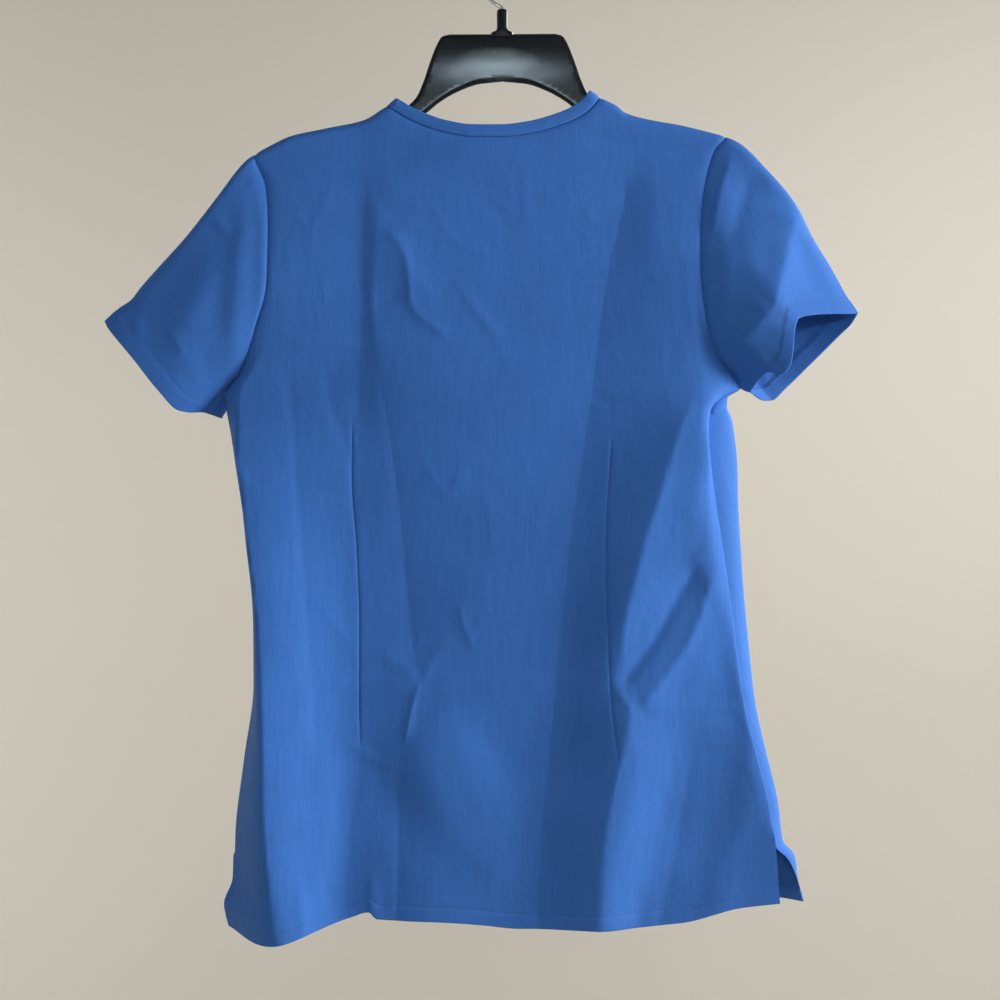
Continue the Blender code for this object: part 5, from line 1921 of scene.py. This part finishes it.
@dataclass(frozen=True)
class PlasticFinish:
    """Black moulded plastic with a satin gloss, light scuffs and a painted highlight on the middle of its
    face.

    The middle and falloff of the painted highlight are along x and z, in metres and per square metre.
    """

    name: str = "hanger_plastic_moulded"
    colour: Colour = (0.004, 0.005, 0.006)
    # Painted highlight: a pale blue-grey colour that stands in for the reflection of light on the face.
    painted_highlight: Colour = (0.115, 0.155, 0.175)
    highlight_middle: tuple[float, float] = (-0.004, -0.101)
    highlight_falloff: tuple[float, float] = (900.0, 6500.0)
    highlight_edge: float = 1.35
    roughness: float = 0.27
    cloud_grain: Grain = (60.0, 60.0, 60.0)
    scuff_grain: Grain = (900.0, 900.0, 90.0)
    flow_grain: Grain = (160.0, 160.0, 160.0)
    flow_height: float = 0.00003

    def make(self) -> bpy.types.Material:
        """Builds the material.

        Returns:
            The material.
        """
        tree = Tree(self.name, False)
        cloud = tree.noise(tree.place, self.cloud_grain, 3.0)
        scuffs = tree.noise(tree.place, self.scuff_grain, 4.0, 0.65).eased(0.60, 0.74)
        worn = (scuffs * cloud.eased(0.45, 0.65)) * 0.3
        across, _, up = tree.parts(tree.place)
        # Mask of the painted highlight: the colour turns paler towards the low middle of the face, where a
        # reflection falls, mottled by the cloud noise.
        aside, above = across - self.highlight_middle[0], up - self.highlight_middle[1]
        far = aside * aside * self.highlight_falloff[0] + above * above * self.highlight_falloff[1]
        painted_highlight_mask = (1.0 - far.eased(0.0, self.highlight_edge)) * (cloud.eased(0.25, 0.75) * 0.45 + 0.55)
        return tree.finish(self.colour, {
            "Base Color": tree.mix(painted_highlight_mask, scaled(self.colour, 1.0), scaled(self.painted_highlight, 1.0)),
            "Specular IOR Level": 0.36, "Specular Tint": (0.72, 0.88, 1.0, 1.0),
            "Roughness": cloud * 0.10 + worn * 0.3 + (self.roughness - 0.05),
            "Normal": tree.bump(tree.noise(tree.place, self.flow_grain, 2.0), self.flow_height)})


@dataclass(frozen=True)
class WireFinish:
    """Bright plated wire, drawn along its length, with a few darker, rougher spots."""

    name: str = "hook_steel_plated"
    colour: Colour = (0.66, 0.67, 0.69)
    drawn_grain: Grain = (900.0, 900.0, 160.0)
    drawn_height: float = 0.00002
    spot_grain: Grain = (220.0, 220.0, 220.0)

    def make(self) -> bpy.types.Material:
        """Builds the material.

        Returns:
            The material.
        """
        tree = Tree(self.name, False)
        drawn = tree.noise(tree.place, self.drawn_grain, 2.0)
        spots = tree.noise(tree.place, self.spot_grain, 3.0).eased(0.62, 0.8)
        return tree.finish(self.colour, {
            "Base Color": tree.mix(spots, scaled(self.colour, 1.0), scaled(self.colour, 0.72)),
            "Roughness": drawn * 0.10 + spots * 0.15 + 0.10,
            "Normal": tree.bump(drawn, self.drawn_height),
            "Metallic": 1.0})


@dataclass(frozen=True)
class WallFinish:
    """Matt pale paint on the studio's bowl."""

    name: str = "studio_paint"
    colour: Colour = (0.76, 0.73, 0.67)
    grain: Grain = (1.2, 1.2, 1.2)
    spread: float = 0.015

    def make(self) -> bpy.types.Material:
        """Builds the material.

        Returns:
            The material.
        """
        tree = Tree(self.name, False)
        tones = [scaled(self.colour, 1 + change) for change in (-self.spread, self.spread)]
        return tree.finish(self.colour, {
            "Base Color": tree.mix(tree.noise(tree.place, self.grain, 2.0), *tones),
            "Roughness": 0.9, "Specular IOR Level": 0.2})


@dataclass(frozen=True)
class Softbox:
    """A soft rectangular light, with its sizes in metres, its power in watts and its spread in degrees."""

    name: str
    place: tuple[float, float, float]
    target: tuple[float, float, float]
    size: tuple[float, float]
    power: float
    spread: float
    colour: Colour = (1.0, 0.985, 0.96)

    def hang(self) -> None:
        """Hangs the light and turns it to its target."""
        light = bpy.data.lights.new(self.name, "AREA")
        light.shape = "RECTANGLE"
        light.size, light.size_y = self.size
        light.energy = self.power
        light.color = self.colour
        light.spread = math.radians(self.spread)
        made = bpy.data.objects.new(self.name, light)
        made.location = self.place
        made.rotation_euler = (Vector(self.target) - Vector(self.place)).to_track_quat("-Z", "Y").to_euler()
        made.visible_camera = False
        bpy.context.scene.collection.objects.link(made)


@dataclass
class Studio:
    """A pale bowl with the floor in it, soft light from the right and the camera. Sizes are metres."""

    floor: float = -1.9
    floor_radius: float = 2.3
    wall_radius: float = 3.2
    wall_top: float = 2.2
    sides: int = 96
    fillet_steps: int = 16
    camera_place: tuple[float, float, float] = (-0.0016, -1.150, -0.4488)
    lens: float = 51.75
    sensor: float = 36.0
    air: tuple[float, float, float, float] = (0.93, 0.96, 1.0, 1.0)
    air_strength: float = 0.20
    boxes: tuple[Softbox, ...] = (
        Softbox("window", (2.72, -0.575, -0.25), (-0.2, 0.0, -0.55), (1.0, 1.5), 31.0, 75.0),
        Softbox("wall_wash", (1.5, 0.35, 0.3), (0.6, 3.2, -0.3), (1.2, 1.2), 33.0, 150.0),
        Softbox("front_side", (1.4, 1.9, 0.5), (0.0, 0.0, -0.45), (1.0, 1.0), 8.0, 90.0),
        Softbox("room", (-0.06, -3.0, 0.12), (0.0, 0.0, -0.2), (0.46, 0.24), 4.4, 90.0, (0.93, 0.97, 1.0)))

    def bowl(self, paint: bpy.types.Material) -> None:
        """Builds the floor and the wall round it as one turned surface.

        Args:
            paint: the wall's finish.
        """
        rise = self.wall_radius - self.floor_radius
        profile = [(0.0, self.floor), (self.floor_radius * 0.5, self.floor), (self.floor_radius, self.floor)]
        for turn in np.linspace(0, math.pi / 2, self.fillet_steps + 1)[1:]:
            up, out = rise * (1 - math.cos(turn)), rise * math.sin(turn)
            profile.append((self.floor_radius + out, self.floor + up))
        profile.append((self.wall_radius, self.wall_top))
        bm = turn_profile(profile, self.sides)
        bmesh.ops.recalc_face_normals(bm, faces=bm.faces)
        bmesh.ops.reverse_faces(bm, faces=bm.faces)
        bmesh.ops.scale(bm, vec=(1 / MM,) * 3, verts=bm.verts)
        finish_object("studio_bowl", bm, paint)

    def make(self) -> None:
        """Builds the bowl, the lights, the air and the camera."""
        self.bowl(WallFinish().make())
        for box in self.boxes:
            box.hang()
        scene = bpy.context.scene
        scene.world = bpy.data.worlds.new("studio_air")
        scene.world.use_nodes = True
        background = scene.world.node_tree.nodes["Background"]
        background.inputs["Color"].default_value = self.air
        background.inputs["Strength"].default_value = self.air_strength
        scene.view_settings.view_transform = "Standard"
        lens = bpy.data.cameras.new("viewpoint")
        lens.sensor_width, lens.lens = self.sensor, self.lens
        camera = bpy.data.objects.new("viewpoint", lens)
        camera.location = self.camera_place
        camera.rotation_euler = (math.pi / 2, 0.0, 0.0)
        scene.collection.objects.link(camera)
        scene.camera = camera


def main() -> None:
    """Builds every piece in order and reports each."""
    logging.basicConfig(level=logging.INFO, format="%(message)s", stream=sys.stdout)
    Studio().make()
    made = ScrubTop().make(ClothFinish().make(), ThreadFinish().make())
    made += Hanger().make(PlasticFinish().make())
    made.append(Hook().make(WireFinish().make()))
    for piece in made:
        LOG.info("%s: %d faces", piece.name, len(piece.data.polygons))


if __name__ == "__main__":
    main()
